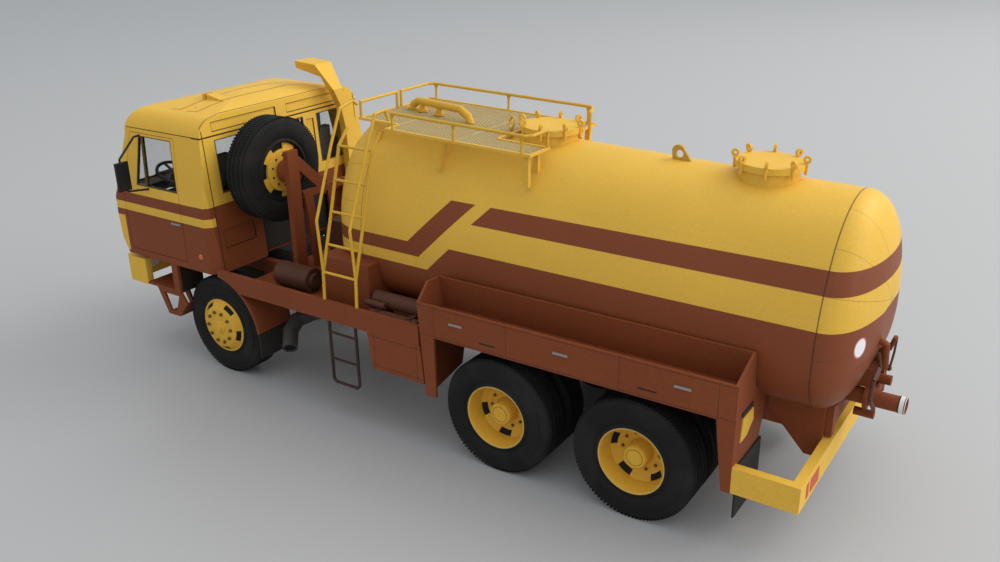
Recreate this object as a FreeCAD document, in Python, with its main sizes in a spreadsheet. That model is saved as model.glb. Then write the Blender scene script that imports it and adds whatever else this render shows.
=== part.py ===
"""Tanker truck with three axles: a card scale model at 1:32, in millimetres.

Stations run along X from the front axle, forward positive; Y is to the left and
Z is up from the ground. Every node is then moved so that X is centred."""
import math
import os
from types import SimpleNamespace

import FreeCAD
import Part
import Sketcher
from FreeCAD import Placement, Rotation, Vector

os.makedirs("parts", exist_ok=True)
doc = FreeCAD.newDocument("TankerTruck")

SIZES = {
    # overall
    "front_reach": 44.9, "rear_overhang": 56.6, "half_wide": 39.0, "card": 0.8,
    "wheelbase": 112.2, "bogie": 41.2,
    # clearances
    "seat_gap": 0.05, "fit_gap": 0.1, "turn_gap": 0.4, "seam": 0.2, "arch_gap": 2.0,
    # wheels
    "tyre_r": 17.2, "tyre_wide": 9.4, "tyre_seat_r": 9.4, "tyre_round": 1.6,
    "front_track": 63.8, "twin_track": 57.4, "twin_step": 11.2,
    "rim_wall": 0.8, "rim_short": 0.2, "web": 0.9, "lip": 0.4, "journal_r": 2.0,
    "front_hub_out": 6.0, "front_hub_in": 2.5, "front_boss_r": 3.2, "front_drum_r": 4.2,
    "front_bore_end": 2.6, "rear_web_at": 3.0, "rear_hub_out": 7.6, "rear_hub_in": 3.2,
    "rear_boss_r": 3.6, "rear_bore_end": 5.4, "slot_at": 7.15, "slot_long": 2.6, "slot_deep": 1.3,
    "spare_slot_long": 2.2, "spare_boss_r": 6.6, "spare_boss_high": 1.2, "spare_bore_r": 2.6,
    # frame and axles
    "rail_out": 13.8, "rail_in": 11.4, "rail_low": 25.0, "rail_high": 33.4,
    "nose_back": 6.9, "rail_tail": 3.5, "cross_long": 3.0, "cross_low": 26.5, "cross_high": 31.8,
    "backbone_r": 3.4, "backbone_front": 12.0, "backbone_tail": 6.6, "final_drive_r": 5.4,
    "final_drive_long": 9.0, "axle_r": 2.6, "hanger_long": 6.0, "hanger_wide": 2.0, "hanger_at": 7.0,
    "gusset_out": 15.0,
    # tank
    "tank_low": 34.3, "tank_top_front": 88.6, "tank_top_rear": 84.5, "tank_front": 55.0,
    "tank_overhang": 38.7, "dome_front": 17.0, "dome_rear": 10.3, "dome_heart": 59.0,
    "tank_half_front": 25.1, "tank_half_rear": 27.4, "crown_r_front": 22.0, "crown_r_rear": 24.0,
    "corner_r_front": 14.0, "corner_r_rear": 13.0, "side_flat_front": 6.8, "side_flat_rear": 0.6,
    "side_bulge_front": 1.54, "side_bulge_rear": 1.68, "saddle_long": 2.4, "saddle_foot": 17.0,
    "saddle_wide": 23.0, "saddle_high": 41.0,
    # side beams, lockers, trays
    "beam_low": 32.3, "beam_high": 38.6, "beam_front": 11.0, "beam_wide": 1.4,
    "locker_long": 19.3, "locker_in": 22.0, "locker_low": 20.7, "locker_lean": 1.3,
    "box_front": 41.5, "box_rear": 61.0, "box_in": 20.0, "box_out": 30.0, "box_high": 48.5,
    "tray_lead": 8.6, "tray_tail": 9.1, "tray_high": 46.2, "tray_leg_low": 17.4, "tray_lean": 2.0,
    "leg_front": 3.1, "leg_rear": 4.3, "tray_floor_up": 3.8, "tray_inner": 29.0,
    "tray_inner_high": 50.4, "flap_low": 9.0, "flap_in": 20.0, "flap_out": 36.4,
    # rear bar, outlet and valve
    "bar_low": 17.6, "bar_high": 24.6, "bar_tail": 4.0, "bar_thick": 2.4,
    "outlet_r": 2.1, "outlet_bore_r": 1.7, "outlet_y": 3.0, "outlet_z": 33.0,
    "outlet_bore_long": 6.0, "valve_at": 9.0, "valve_y": -4.5, "valve_high": 44.4,
    # cab
    "cab_rear": 3.0, "cab_skin": 1.0, "cab_belt": 57.5, "cab_waist": 56.1, "cab_eave": 80.9,
    "cab_eave_half": 36.5, "cab_shoulder": 87.0, "cab_shoulder_half": 30.0, "cab_split": 81.3,
    "screen_lean": 8.0, "screen_top": 79.2, "brow_reach": 10.9, "wall_lean": 3.3,
    "roof_bulge_long": 2.6, "roof_bulge_wide": 2.8, "brow_bulge": 1.0, "shoulder_bulge": 1.5,
    "film_in": 0.3, "film": 0.35, "recess": 0.4, "groove": 0.5,
    "grille_half": 19.0, "grille_low": 43.6, "grille_high": 54.0, "slat": 0.8,
    "seat_out": 30.0, "seat_high": 55.0, "seat_back_high": 68.0,
    "steering_r": 6.0, "steering_wire": 0.55, "steering_back": 12.9, "steering_y": 23.0, "steering_z": 62.8,
    "tunnel_half": 16.3, "tunnel_high": 57.0, "mirror_back": 17.1, "mirror_y": 45.0, "mirror_z": 66.0,
    "pane_low": 62.5, "pane_tall": 16.2, "corner_long": 3.3, "corner_wide": 3.6, "mirror_wide": 6.0,
         "mirror_high": 11.0, "mirror_thick": 1.8,
    "bumper_low": 25.7, "bumper_high": 35.0, "bumper_long": 10.6, "bumper_thick": 2.4, "bumper_round": 2.0,
    "lamp_r": 2.4, "lamp_y": 30.0, "lamp_step": 6.2, "lamp_z": 30.4,
    "step_in": 29.0, "step_high": 26.0, "low_step": 16.8,
    # spare wheel and carrier, intake
    "spare_x": 10.4, "spare_y": 16.0, "spare_z": 68.5, "carrier_at": 19.0, "carrier_thick": 2.0,
    "duct_front": 3.2, "duct_rear": 5.9, "duct_high": 87.8, "mouth_right": 25.2, "mouth_left": 17.0,
    # guards and exhaust
    "guard_gap": 2.2, "guard_in": 24.5, "front_flap_low": 10.6, "exhaust_r": 2.5, "exhaust_bore_r": 2.0,
    # top gear
    "manhole_ahead": 51.5, "manhole_behind": 22.4, "manhole_r": 7.6, "manhole_flange_r": 8.5,
    "manhole_high": 3.0, "lid_thick": 0.8, "clamp_at": 8.7, "clamp_r": 1.0, "clamp_bore_r": 0.4,
    "clamp_thick": 0.7, "lug_eye_r": 1.05, "lug_behind": 46.3, "lug_eye_high": 1.6, "lug_thick": 0.9,
    "deck_gap": 0.15, "grating": 0.7, "deck_half": 22.0, "deck_right": 19.0, "far_short": 2.5,
    "deck_start": 9.0, "deck_end": 58.5,
    "landing_start": 6.0, "landing_left": 16.0, "cutout_start": 42.0, "cutout_left": 12.0,
    "cutout_right": 10.5, "rail_above": 4.7, "rail_wire_r": 0.45, "post_r": 0.36,
    "leg_thick": 1.6, "leg_drop": 9.0, "top_pipe_r": 1.15, "top_pipe_high": 3.9,
    # ladders
    "ladder_left": 50.1, "ladder_right": 62.9, "stile_r": 0.5, "rung_r": 0.4, "hand_r": 0.45,
    "low_ladder_front": 51.5, "low_ladder_rear": 62.0, "low_ladder_low": 11.5, "low_ladder_y": 38.4,
}


class Size(float):
    """A number that also knows the sheet cells it comes from."""

    def __new__(cls, value, text):
        item = super().__new__(cls, value)
        item.text = text
        return item

    def mixed(self, other, sign, value, swap=False):
        left, right = text_of(self), text_of(other)
        if swap:
            left, right = right, left
        return Size(value, f"({left} {sign} {right})")

    def __add__(self, other):
        return self.mixed(other, "+", float(self) + float(other))

    def __radd__(self, other):
        return self.mixed(other, "+", float(other) + float(self), True)

    def __sub__(self, other):
        return self.mixed(other, "-", float(self) - float(other))

    def __rsub__(self, other):
        return self.mixed(other, "-", float(other) - float(self), True)

    def __mul__(self, other):
        return self.mixed(other, "*", float(self) * float(other))

    def __rmul__(self, other):
        return self.mixed(other, "*", float(other) * float(self), True)

    def __truediv__(self, other):
        return self.mixed(other, "/", float(self) / float(other))

    def __neg__(self):
        return Size(-float(self), f"(0 - {self.text})")


def text_of(value):
    return value.text if isinstance(value, Size) else f"({float(value):.6f})"


sheet = doc.addObject("Spreadsheet::Sheet", "Sizes")
for row, (alias, number) in enumerate(SIZES.items(), 1):
    sheet.set(f"A{row}", alias)
    sheet.set(f"B{row}", str(number))
    sheet.setAlias(f"B{row}", alias)
doc.recompute()
s = SimpleNamespace(**{alias: Size(number, f"Sizes.{alias}") for alias, number in SIZES.items()})

# Stations, levels and sides that several pieces share.
HALF = s.half_wide
CARD = s.card
ZERO = HALF * 0
REAR1 = -s.wheelbase
REAR2 = REAR1 - s.bogie
AXLES = {"front": ZERO, "rear1": REAR1, "rear2": REAR2}
TAIL_END = REAR2 - s.rear_overhang
AXLE_X = (-TAIL_END - s.front_reach) / 2
TANK_FRONT = -s.tank_front
TANK_REAR = REAR2 - s.tank_overhang
RAIL_REAR = TANK_REAR - s.rail_tail
TRAY_FRONT = REAR1 + s.tyre_r + s.tray_lead
TRAY_REAR = REAR2 - s.tyre_r - s.tray_tail
ARCH_TOP = s.tyre_r * 2 + s.arch_gap
RAIL_NOSE = s.front_reach - s.nose_back
BUMPER_REAR = s.front_reach - s.bumper_long
STEP_REAR = s.tyre_r - s.seam
DECK_FACE = s.rail_high + CARD
FAR = 60.0
count = 0


def fresh(stem):
    global count
    count += 1
    return f"{stem}_{count}"


def bind(thing, path, value):
    if isinstance(value, Size):
        thing.setExpression(path, value.text)


def settle(thing, x, y, z, turn=None):
    thing.Placement = Placement(Vector(float(x), float(y), float(z)), turn or Rotation())
    for axis, value in zip("xyz", (x, y, z)):
        bind(thing, f"Placement.Base.{axis}", value)


def primitive(kind, **values):
    item = doc.addObject(f"Part::{kind}", fresh(kind.lower()))
    for name, value in values.items():
        setattr(item, name, float(value))
        bind(item, name, value)
    return item


def block(x0, x1, y0, y1, z0, z1):
    box = primitive("Box", Length=x1 - x0, Width=y1 - y0, Height=z1 - z0)
    settle(box, x0, y0, z0)
    return box


def rod(x, y, z, direction, radius, length):
    """A round bar from a point along a direction."""
    bar = primitive("Cylinder", Radius=radius, Height=length)
    settle(bar, x, y, z, Rotation(Vector(0, 0, 1), Vector(*direction)))
    return bar


def ring(x, y, z, axis, radius, wire):
    item = primitive("Torus", Radius1=radius, Radius2=wire)
    settle(item, x, y, z, Rotation(Vector(0, 0, 1), Vector(*axis)))
    return item


def origin_part(body, role):
    return next(item for item in body.Origin.OriginFeatures if item.Role == role)


def arc_radius(start, end, bulge):
    """The radius of the arc between two corners that stands out by the bulge."""
    du, dw = end[0] - start[0], end[1] - start[1]
    return (du * du + dw * dw) / (bulge * 8) + bulge / 2


def draw(sketch, points):
    """A closed outline whose corners are dimensioned from the origin.

    A third number makes the side that leaves a corner an arc of that radius,
    standing outwards on an outline that is listed counter-clockwise."""
    total = len(points)
    corners = [Vector(float(point[0]), float(point[1]), 0) for point in points]
    for i, point in enumerate(points):
        start, end = corners[i], corners[(i + 1) % total]
        if len(point) == 2:
            sketch.addGeometry(Part.LineSegment(start, end))
            continue
        half = (end - start) / 2
        rise = math.sqrt(float(point[2]) ** 2 - half.Length ** 2)
        centre = start + half + Vector(-half.y, half.x, 0).normalize() * rise
        angles = [math.atan2(spot.y - centre.y, spot.x - centre.x) for spot in (start, end)]
        circle = Part.Circle(centre, Vector(0, 0, 1), float(point[2]))
        sketch.addGeometry(Part.ArcOfCircle(circle, *angles))
    for i in range(total):
        sketch.addConstraint(Sketcher.Constraint("Coincident", i, 2, (i + 1) % total, 1))
    for i, point in enumerate(points):
        for kind, value in zip(("DistanceX", "DistanceY"), point):
            index = sketch.addConstraint(Sketcher.Constraint(kind, -1, 1, i, 1, float(value)))
            bind(sketch, f"Constraints[{index}]", value)
        if len(point) == 3:
            index = sketch.addConstraint(Sketcher.Constraint("Radius", i, float(point[2])))
            bind(sketch, f"Constraints[{index}]", point[2])
    return sketch


def outline(body, plane, points, offset=0.0):
    sketch = body.newObject("Sketcher::SketchObject", fresh("outline"))
    sketch.AttachmentSupport = [(origin_part(body, plane), "")]
    sketch.MapMode = "FlatFace"
    sketch.AttachmentOffset = Placement(Vector(0, 0, float(offset)), Rotation())
    bind(sketch, "AttachmentOffset.Base.z", offset)
    return draw(sketch, points)


def plate(plane, points, low, high):
    """A flat piece: an outline in a main plane, thick from low to high across it."""
    body = doc.addObject("PartDesign::Body", fresh("plate"))
    start = -high if plane == "XZ" else low
    sketch = outline(body, plane + "_Plane", points, start)
    pad = body.newObject("PartDesign::Pad", fresh("pad"))
    pad.Profile = sketch
    pad.Length = float(high - low)
    bind(pad, "Length", high - low)
    return body


def turned(points, fillet=None, holes=None):
    """A ring or disc turned about the Y axis from (y, radius) corners.

    fillet is (radius, least distance from the axis) for the edges that are rounded;
    holes is (outline in XZ, count) for openings set round the axis."""
    body = doc.addObject("PartDesign::Body", fresh("turned"))
    sketch = outline(body, "YZ_Plane", points)
    turn = body.newObject("PartDesign::Revolution", fresh("turn"))
    turn.Profile = sketch
    turn.ReferenceAxis = (sketch, ["H_Axis"])
    turn.Angle = 360.0
    doc.recompute()
    body.Tip = turn
    if fillet:
        edges = [f"Edge{i}" for i, edge in enumerate(turn.Shape.Edges, 1)
                 if isinstance(edge.Curve, Part.Circle) and edge.Curve.Radius > fillet[1] - 0.01]
        rounded = body.newObject("PartDesign::Fillet", fresh("fillet"))
        rounded.Base = (turn, edges)
        rounded.Radius = float(fillet[0])
        bind(rounded, "Radius", fillet[0])
        doc.recompute()
        body.Tip = rounded
    if holes:
        pocket = body.newObject("PartDesign::Pocket", fresh("pocket"))
        pocket.Profile = outline(body, "XZ_Plane", holes[0])
        pocket.Type = 1
        pocket.Midplane = True
        doc.recompute()
        body.Tip = pocket
        spread = body.newObject("PartDesign::PolarPattern", fresh("spread"))
        spread.Originals = [pocket]
        spread.Axis = (origin_part(body, "Y_Axis"), [""])
        spread.Angle = 360.0
        spread.Occurrences = holes[1]
        body.Tip = spread
        doc.recompute()
    return body


def section(points, x):
    """An outline that stands across the length at a station."""
    sketch = draw(doc.addObject("Sketcher::SketchObject", fresh("section")), points)
    settle(sketch, x, 0.0, 0.0, Rotation(Vector(1, 1, 1), 120))
    return sketch


def loft(sections, ruled):
    body = doc.addObject("Part::Loft", fresh("loft"))
    body.Sections = sections
    body.Solid = True
    body.Ruled = ruled
    return body


def fuse(*items):
    joined = doc.addObject("Part::MultiFuse", fresh("fuse"))
    joined.Shapes = list(items)
    return joined


def common(*items):
    shared = doc.addObject("Part::MultiCommon", fresh("common"))
    shared.Shapes = list(items)
    return shared


def cut(base, *tools):
    result = doc.addObject("Part::Cut", fresh("cut"))
    result.Base = base
    result.Tool = tools[0] if len(tools) == 1 else fuse(*tools)
    return result


def group(*items):
    together = doc.addObject("Part::Compound", fresh("group"))
    together.Links = list(items)
    return together


def mirrored(item):
    other = doc.addObject("Part::Mirroring", fresh("mirror"))
    other.Source = item
    other.Normal = Vector(0, 1, 0)
    other.Base = Vector(0, 0, 0)
    return other


def both(*items):
    """Pieces together with their mirror images on the right."""
    whole = items[0] if len(items) == 1 else group(*items)
    return group(whole, mirrored(whole))


def wire_path(points, radius):
    """Round wire bent through points, with mitred corners."""
    path = [Vector(*(float(c) for c in point)) for point in points]
    circle = Part.Wire([Part.makeCircle(float(radius), path[0], path[1] - path[0])])
    wire = doc.addObject("Part::Feature", fresh("wire"))
    wire.Shape = Part.makePolygon(path).makePipeShell([circle], True, False, 1)
    return wire


def shrunk(points, by):
    """A counter-clockwise outline with every side moved inwards."""
    total = len(points)
    headings = []
    for i, point in enumerate(points):
        after = points[(i + 1) % total]
        du, dw = float(after[0]) - float(point[0]), float(after[1]) - float(point[1])
        bend = math.asin(math.hypot(du, dw) / 2 / float(point[2])) if len(point) == 3 else 0.0
        along = math.atan2(dw, du)
        headings.append((along - bend, along + bend))
    moved = []
    for i, point in enumerate(points):
        inwards = [Vector(-math.sin(a), math.cos(a), 0) for a in (headings[i - 1][1], headings[i][0])]
        shift = (inwards[0] + inwards[1]) / (1 + inwards[0].dot(inwards[1]))
        corner = (point[0] + by * shift.x, point[1] + by * shift.y)
        moved.append(corner + ((point[2] - by,) if len(point) == 3 else ()))
    return moved


nodes = {}


def node(label, *items, x=AXLE_X, y=0.0, z=0.0, turn=None):
    whole = group(*items)
    whole.Label = label
    settle(whole, x, y, z, turn)
    nodes[label] = whole


# Wheels: turned about Y with the outboard side towards +Y, centred on the tyre or pair.
HALF_TYRE = s.tyre_wide / 2
SHORT_END = HALF_TYRE - s.rim_short
TWIN_END = s.twin_step / 2 + SHORT_END
BARREL_R = s.tyre_seat_r - s.rim_wall


def tyre(middle):
    return turned([(middle - HALF_TYRE, s.tyre_seat_r), (middle + HALF_TYRE, s.tyre_seat_r),
                   (middle + HALF_TYRE, s.tyre_r), (middle - HALF_TYRE, s.tyre_r)], (s.tyre_round, s.tyre_r))


def slot_outline(long):
    near, far = s.slot_at - s.slot_deep / 2, s.slot_at + s.slot_deep / 2
    return [(-long / 2, near), (long / 2, near), (long / 2, far), (-long / 2, far)]


def rim(end, web_at, hub_in, hub_out, boss_r, drum_r, bore_end):
    """A rim with its disc, hub boss and the blind bore that runs on a journal."""
    bore = s.journal_r + s.seat_gap
    web_end = web_at + s.web
    return turned([
        (-hub_in, bore), (bore_end, bore), (bore_end, ZERO), (hub_out, ZERO), (hub_out, boss_r),
        (web_end, boss_r), (web_end, BARREL_R), (end, BARREL_R), (end, s.tyre_seat_r),
        (-end, s.tyre_seat_r), (-end, BARREL_R), (web_at, BARREL_R), (web_at, drum_r),
        (-hub_in, drum_r)], None, (slot_outline(s.slot_long), 8))


FRONT_WEB = SHORT_END - s.web - s.lip
for axle, station in AXLES.items():
    front = axle == "front"
    middle = (s.front_track if front else s.twin_track) / 2
    for side, way, turn in (("left", 1, Rotation()), ("right", -1, Rotation(Vector(0, 0, 1), 180))):
        spot = {"x": AXLE_X + station, "y": middle * way, "z": s.tyre_r, "turn": turn}
        if front:
            disc = rim(SHORT_END, FRONT_WEB, s.front_hub_in, s.front_hub_out, s.front_boss_r,
                       s.front_drum_r, s.front_bore_end)
            node(f"tyre_front_{side}", tyre(ZERO), **spot)
            node(f"rim_front_{side}", disc, **spot)
        else:
            disc = rim(TWIN_END, s.rear_web_at, s.rear_hub_in, s.rear_hub_out, s.rear_boss_r,
                       s.rear_boss_r, s.rear_bore_end)
            node(f"tyres_{axle}_{side}", tyre(s.twin_step / 2), tyre(-s.twin_step / 2), **spot)
            node(f"rims_{axle}_{side}", disc, **spot)

# Frame: two rails, cross pieces and the gussets that carry the rear bar.
BETWEEN_REAR = (REAR1 + REAR2) / 2
BEFORE_REAR = REAR1 + s.tyre_r + s.leg_front
BEHIND_REAR = REAR2 - s.tyre_r - s.cross_long / 2
CROSS_END = s.rail_in - s.fit_gap
rail = block(RAIL_REAR, RAIL_NOSE, s.rail_in, s.rail_out, s.rail_low, s.rail_high)
crosses = [block(at - s.cross_long / 2, at + s.cross_long / 2, -CROSS_END, CROSS_END, s.cross_low,
                 s.cross_high)
           for at in (RAIL_NOSE - 2.0, ZERO - 10.0, ZERO - 24.0, ZERO - 60.0, BEFORE_REAR, BETWEEN_REAR,
                      BEHIND_REAR, RAIL_REAR + 2.0)]
BAR_END = TANK_REAR - s.bar_tail
BAR_FACE = BAR_END + s.bar_thick
GUSSET = [(TRAY_REAR, s.rail_high), (TRAY_REAR, s.rail_high - 3.4), (TRAY_REAR - 10.0, s.bar_low + 1.6),
          (BAR_FACE, s.bar_low + 1.6), (BAR_FACE, s.rail_high)]
gusset = plate("XZ", GUSSET, s.rail_out - s.seam, s.gusset_out)
node("chassis_frame", both(fuse(rail, gusset)))
node("cross_members", *crosses)

tube = rod(REAR2 - s.backbone_tail, 0.0, s.tyre_r, (1, 0, 0), s.backbone_r,
           s.backbone_tail + s.backbone_front - REAR2)
drives = [rod(station - s.final_drive_long / 2, 0.0, s.tyre_r, (1, 0, 0), s.final_drive_r,
              s.final_drive_long) for station in AXLES.values()]
HANGER_AT = (ZERO - 24.0, BEFORE_REAR, BETWEEN_REAR)
hangers = [block(at - s.hanger_long / 2, at + s.hanger_long / 2, s.hanger_at * way - s.hanger_wide / 2,
                 s.hanger_at * way + s.hanger_wide / 2, s.tyre_r, s.cross_low)
           for at in HANGER_AT for way in (-1, 1)]
CRADLE_END = s.hanger_at + s.hanger_wide / 2
cradles = [block(at - s.hanger_long / 2, at + s.hanger_long / 2, -CRADLE_END, CRADLE_END,
                 s.tyre_r - 1.0, s.tyre_r + 1.0) for at in HANGER_AT]
node("backbone_tube", fuse(tube, *drives, *hangers, *cradles))


def half_axle(station, end, shoulder):
    """A swinging half-axle with the journal that its wheel runs on."""
    beam = rod(station, s.final_drive_r - 1.0, s.tyre_r, (0, 1, 0), s.axle_r,
               shoulder - s.final_drive_r + 1.0)
    journal = rod(station, shoulder - 0.5, s.tyre_r, (0, 1, 0), s.journal_r, end - shoulder + 0.5)
    return cut(fuse(beam, journal), fuse(*drives))


FRONT_SHOULDER = s.front_track / 2 - HALF_TYRE - s.turn_gap
TWIN_SHOULDER = s.twin_track / 2 - s.twin_step / 2 - HALF_TYRE - s.turn_gap
node("front_axle", both(half_axle(ZERO, s.front_track / 2 + s.front_bore_end - s.turn_gap, FRONT_SHOULDER)))
node("rear_axles", *[both(half_axle(station, s.twin_track / 2 + s.rear_bore_end - s.turn_gap, TWIN_SHOULDER))
                     for station in (REAR1, REAR2)])

# Front bumper with its lamps, and the steps behind it.
BUMPER_OUT = [(BUMPER_REAR, -HALF), (s.front_reach - s.bumper_round, -HALF, s.bumper_round),
              (s.front_reach, s.bumper_round - HALF), (s.front_reach, HALF - s.bumper_round, s.bumper_round),
              (s.front_reach - s.bumper_round, HALF), (BUMPER_REAR, HALF)]
bumper_in = block(BUMPER_REAR - 1.0, s.front_reach - s.bumper_thick, s.bumper_thick - HALF,
                  HALF - s.bumper_thick, s.bumper_low - 1.0, s.bumper_high - CARD)
LAMP_AT = (s.lamp_y, s.lamp_y - s.lamp_step)


def lamp_set(radius, front, long):
    return both(*[rod(front - long, y, s.lamp_z, (1, 0, 0), radius, long) for y in LAMP_AT])


node("front_bumper", cut(plate("XY", BUMPER_OUT, s.bumper_low, s.bumper_high), bumper_in,
                         lamp_set(s.lamp_r + s.fit_gap, s.front_reach + 1.0, s.bumper_thick + 2.0)))
node("lamps", lamp_set(s.lamp_r, s.front_reach - s.seam, s.bumper_thick))

TREAD_LOW = s.step_high
STEP_SIDE = [(BUMPER_REAR - 4.8, TREAD_LOW), (STEP_REAR, TREAD_LOW), (STEP_REAR - 2.4, TREAD_LOW - 3.6),
             (STEP_REAR + 2.4, s.low_step), (STEP_REAR + 8.2, s.low_step)]
STEP_GAP = [(BUMPER_REAR - 8.1, TREAD_LOW - 1.4), (STEP_REAR + 1.4, TREAD_LOW - 1.4),
            (STEP_REAR + 3.8, s.low_step + 1.6), (STEP_REAR + 6.8, s.low_step + 1.6)]
INNER_SIDE = [(BUMPER_REAR - 4.8, TREAD_LOW), (STEP_REAR + 1.6, TREAD_LOW), (STEP_REAR + 2.4, s.low_step),
              (STEP_REAR + 8.2, s.low_step)]
INNER_GAP = [(BUMPER_REAR - 8.1, TREAD_LOW - 1.4), (STEP_REAR + 3.4, TREAD_LOW - 1.4),
             (STEP_REAR + 3.8, s.low_step + 1.6), (STEP_REAR + 6.8, s.low_step + 1.6)]
tread = block(STEP_REAR, BUMPER_REAR, s.step_in, HALF, TREAD_LOW, TREAD_LOW + CARD)
post = block(STEP_REAR + 0.2, STEP_REAR + 3.2, HALF - CARD, HALF, TREAD_LOW, ARCH_TOP)
step_side = cut(plate("XZ", STEP_SIDE, HALF - CARD, HALF),
                plate("XZ", STEP_GAP, HALF - CARD * 2, HALF + CARD))
step_inner = cut(plate("XZ", INNER_SIDE, s.step_in, s.step_in + CARD),
                 plate("XZ", INNER_GAP, s.step_in - CARD, s.step_in + CARD * 2))
low_tread = block(STEP_REAR + 2.4, STEP_REAR + 8.2, s.step_in, HALF, s.low_step, s.low_step + CARD)
back = block(STEP_REAR, STEP_REAR + CARD, s.step_in, HALF - CARD, TREAD_LOW, ARCH_TOP)
node("cab_steps", both(fuse(tread, post, step_side, step_inner, low_tread, back)))

# Cab: an outer hull less an inner hull, split where the panels meet.
CAB_LOW = ARCH_TOP
WALL_TOP = s.cab_shoulder + 0.4


def wall_x(z):
    """The rear wall's station at a level; it leans forward as it rises."""
    return (z - CAB_LOW) * (SIZES["wall_lean"] / float(WALL_TOP - CAB_LOW)) - s.cab_rear


BROW_LOW = (s.front_reach - s.screen_lean, s.screen_top)
BROW_HIGH = (s.front_reach - s.brow_reach, s.cab_shoulder)
ROOF_BACK = (wall_x(WALL_TOP), WALL_TOP)
PROFILE = [(wall_x(CAB_LOW), CAB_LOW), (s.front_reach - 3.0, CAB_LOW), (s.front_reach - 0.6, CAB_LOW + 5.1),
           (s.front_reach, CAB_LOW + 13.4), (s.front_reach - 0.2, s.cab_waist),
           BROW_LOW + (arc_radius(BROW_LOW, BROW_HIGH, s.brow_bulge),),
           BROW_HIGH + (arc_radius(BROW_HIGH, ROOF_BACK, s.roof_bulge_long),), ROOF_BACK]
EAVE = (s.cab_eave_half, s.cab_eave)
SHOULDER = (s.cab_shoulder_half, s.cab_shoulder)
CORNER_R = arc_radius(EAVE, SHOULDER, s.shoulder_bulge)
CROWN_R = arc_radius(SHOULDER, (-s.cab_shoulder_half, s.cab_shoulder), s.roof_bulge_wide)
SECTION = [(-HALF, CAB_LOW), (HALF, CAB_LOW), (HALF, s.cab_belt), EAVE + (CORNER_R,), SHOULDER + (CROWN_R,),
           (-s.cab_shoulder_half, s.cab_shoulder, CORNER_R), (-s.cab_eave_half, s.cab_eave),
           (-HALF, s.cab_belt)]


CORNER_END = (-s.corner_long * 3, HALF - s.corner_wide * 3)
CORNER_START = (s.corner_long * 0.5, HALF + s.corner_wide * 0.5)
PLAN = [(CORNER_END[0], -CORNER_END[1]), (CORNER_START[0], -CORNER_START[1]),
        (s.front_reach + 5.0, -CORNER_START[1]),
        (s.front_reach + 5.0, CORNER_START[1]), CORNER_START, CORNER_END]


def hull(by):
    """The cab's block with bevelled rear corners, every face moved inwards by an amount."""
    return common(plate("XZ", shrunk(PROFILE, by), -HALF - 5.0, HALF + 5.0),
                  plate("YZ", shrunk(SECTION, by), ZERO - 10.0, s.front_reach + 4.0),
                  plate("XY", shrunk(PLAN, by), ZERO, ZERO + FAR * 2))


outer_hull = hull(ZERO)
shell = cut(outer_hull, hull(s.cab_skin))
inset_hull = hull(s.film_in)
film_shell = cut(inset_hull, hull(s.film_in + s.film))


def wall_zone(y0, y1, z0, z1, depth):
    return plate("XZ", [(ZERO - 12.0, z0), (wall_x(z0) + depth, z0), (wall_x(z1) + depth, z1),
                        (ZERO - 12.0, z1)],
                 y0, y1)


FRONT_SPLIT = s.front_reach - 4.5
PANEL_TOP = s.cab_split - s.seam
front_zone = plate("XZ", [(FRONT_SPLIT, CAB_LOW - 5.0), (ZERO + FAR, CAB_LOW - 5.0),
                          (ZERO + FAR, s.cab_split),
                          (FRONT_SPLIT - 6.2, s.cab_split), (FRONT_SPLIT + 0.2, s.cab_waist)], -HALF - 5.0,
                   HALF + 5.0)
rear_zone = wall_zone(-HALF - 5.0, HALF + 5.0, CAB_LOW - 5.0, s.cab_split, s.cab_skin * 1.5)
roof_zone = block(ZERO - FAR, ZERO + FAR, ZERO - FAR, ZERO + FAR, s.cab_split, s.cab_split + FAR)
gap_zone = block(ZERO - FAR, ZERO + FAR, ZERO - FAR, ZERO + FAR, PANEL_TOP, s.cab_split + FAR)
floor_zone = block(ZERO - FAR, ZERO + FAR, ZERO - FAR, ZERO + FAR, ZERO, CAB_LOW + s.cab_skin)
DOOR = [(s.front_reach - 33.9, CAB_LOW + 2.2), (s.front_reach - 5.3, CAB_LOW + 2.2),
        (s.front_reach - 5.1, s.cab_waist),
        (s.front_reach - 10.3, s.cab_split - 1.4), (s.front_reach - 32.5, s.cab_split - 1.4),
        (s.front_reach - 34.2, s.cab_waist - 4.0)]
PANE_LOW, PANE_HIGH = s.pane_low, s.pane_low + s.pane_tall
WINDOW = [(s.front_reach - 32.7, PANE_LOW), (s.front_reach - 18.1, PANE_LOW),
          (s.front_reach - 16.8, PANE_HIGH), (s.front_reach - 30.6, PANE_HIGH)]
QUARTER = [(s.front_reach - 17.2, PANE_LOW + 0.1), (s.front_reach - 12.7, PANE_LOW + 0.4),
           (s.front_reach - 15.1, PANE_HIGH - 0.1), (s.front_reach - 15.9, PANE_HIGH)]
SCREEN_HALF = s.half_wide - 6.0
door_hole = both(plate("XZ", DOOR, s.half_wide - 9.0, ZERO + FAR))
door_leaf = both(plate("XZ", shrunk(DOOR, s.seam), s.half_wide - 9.0, ZERO + FAR))
panes = [both(plate("XZ", pane, s.half_wide - 9.0, ZERO + FAR)) for pane in (WINDOW, QUARTER)]
screen_hole = plate("YZ", [(-SCREEN_HALF, s.cab_waist + 4.4), (SCREEN_HALF, s.cab_waist + 4.4),
                           (SCREEN_HALF - 2.5, s.screen_top - 0.4), (2.5 - SCREEN_HALF, s.screen_top - 0.4)],
                    s.front_reach - 20.0, ZERO + FAR)
REAR_PANES = [(15.8, 30.4), (-8.6, 8.6), (-30.4, -15.8)]
rear_holes = [wall_zone(low + ZERO, high + ZERO, PANE_LOW + 0.2, PANE_HIGH + CARD, s.cab_skin * 3) for low,
              high in REAR_PANES]
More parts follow.
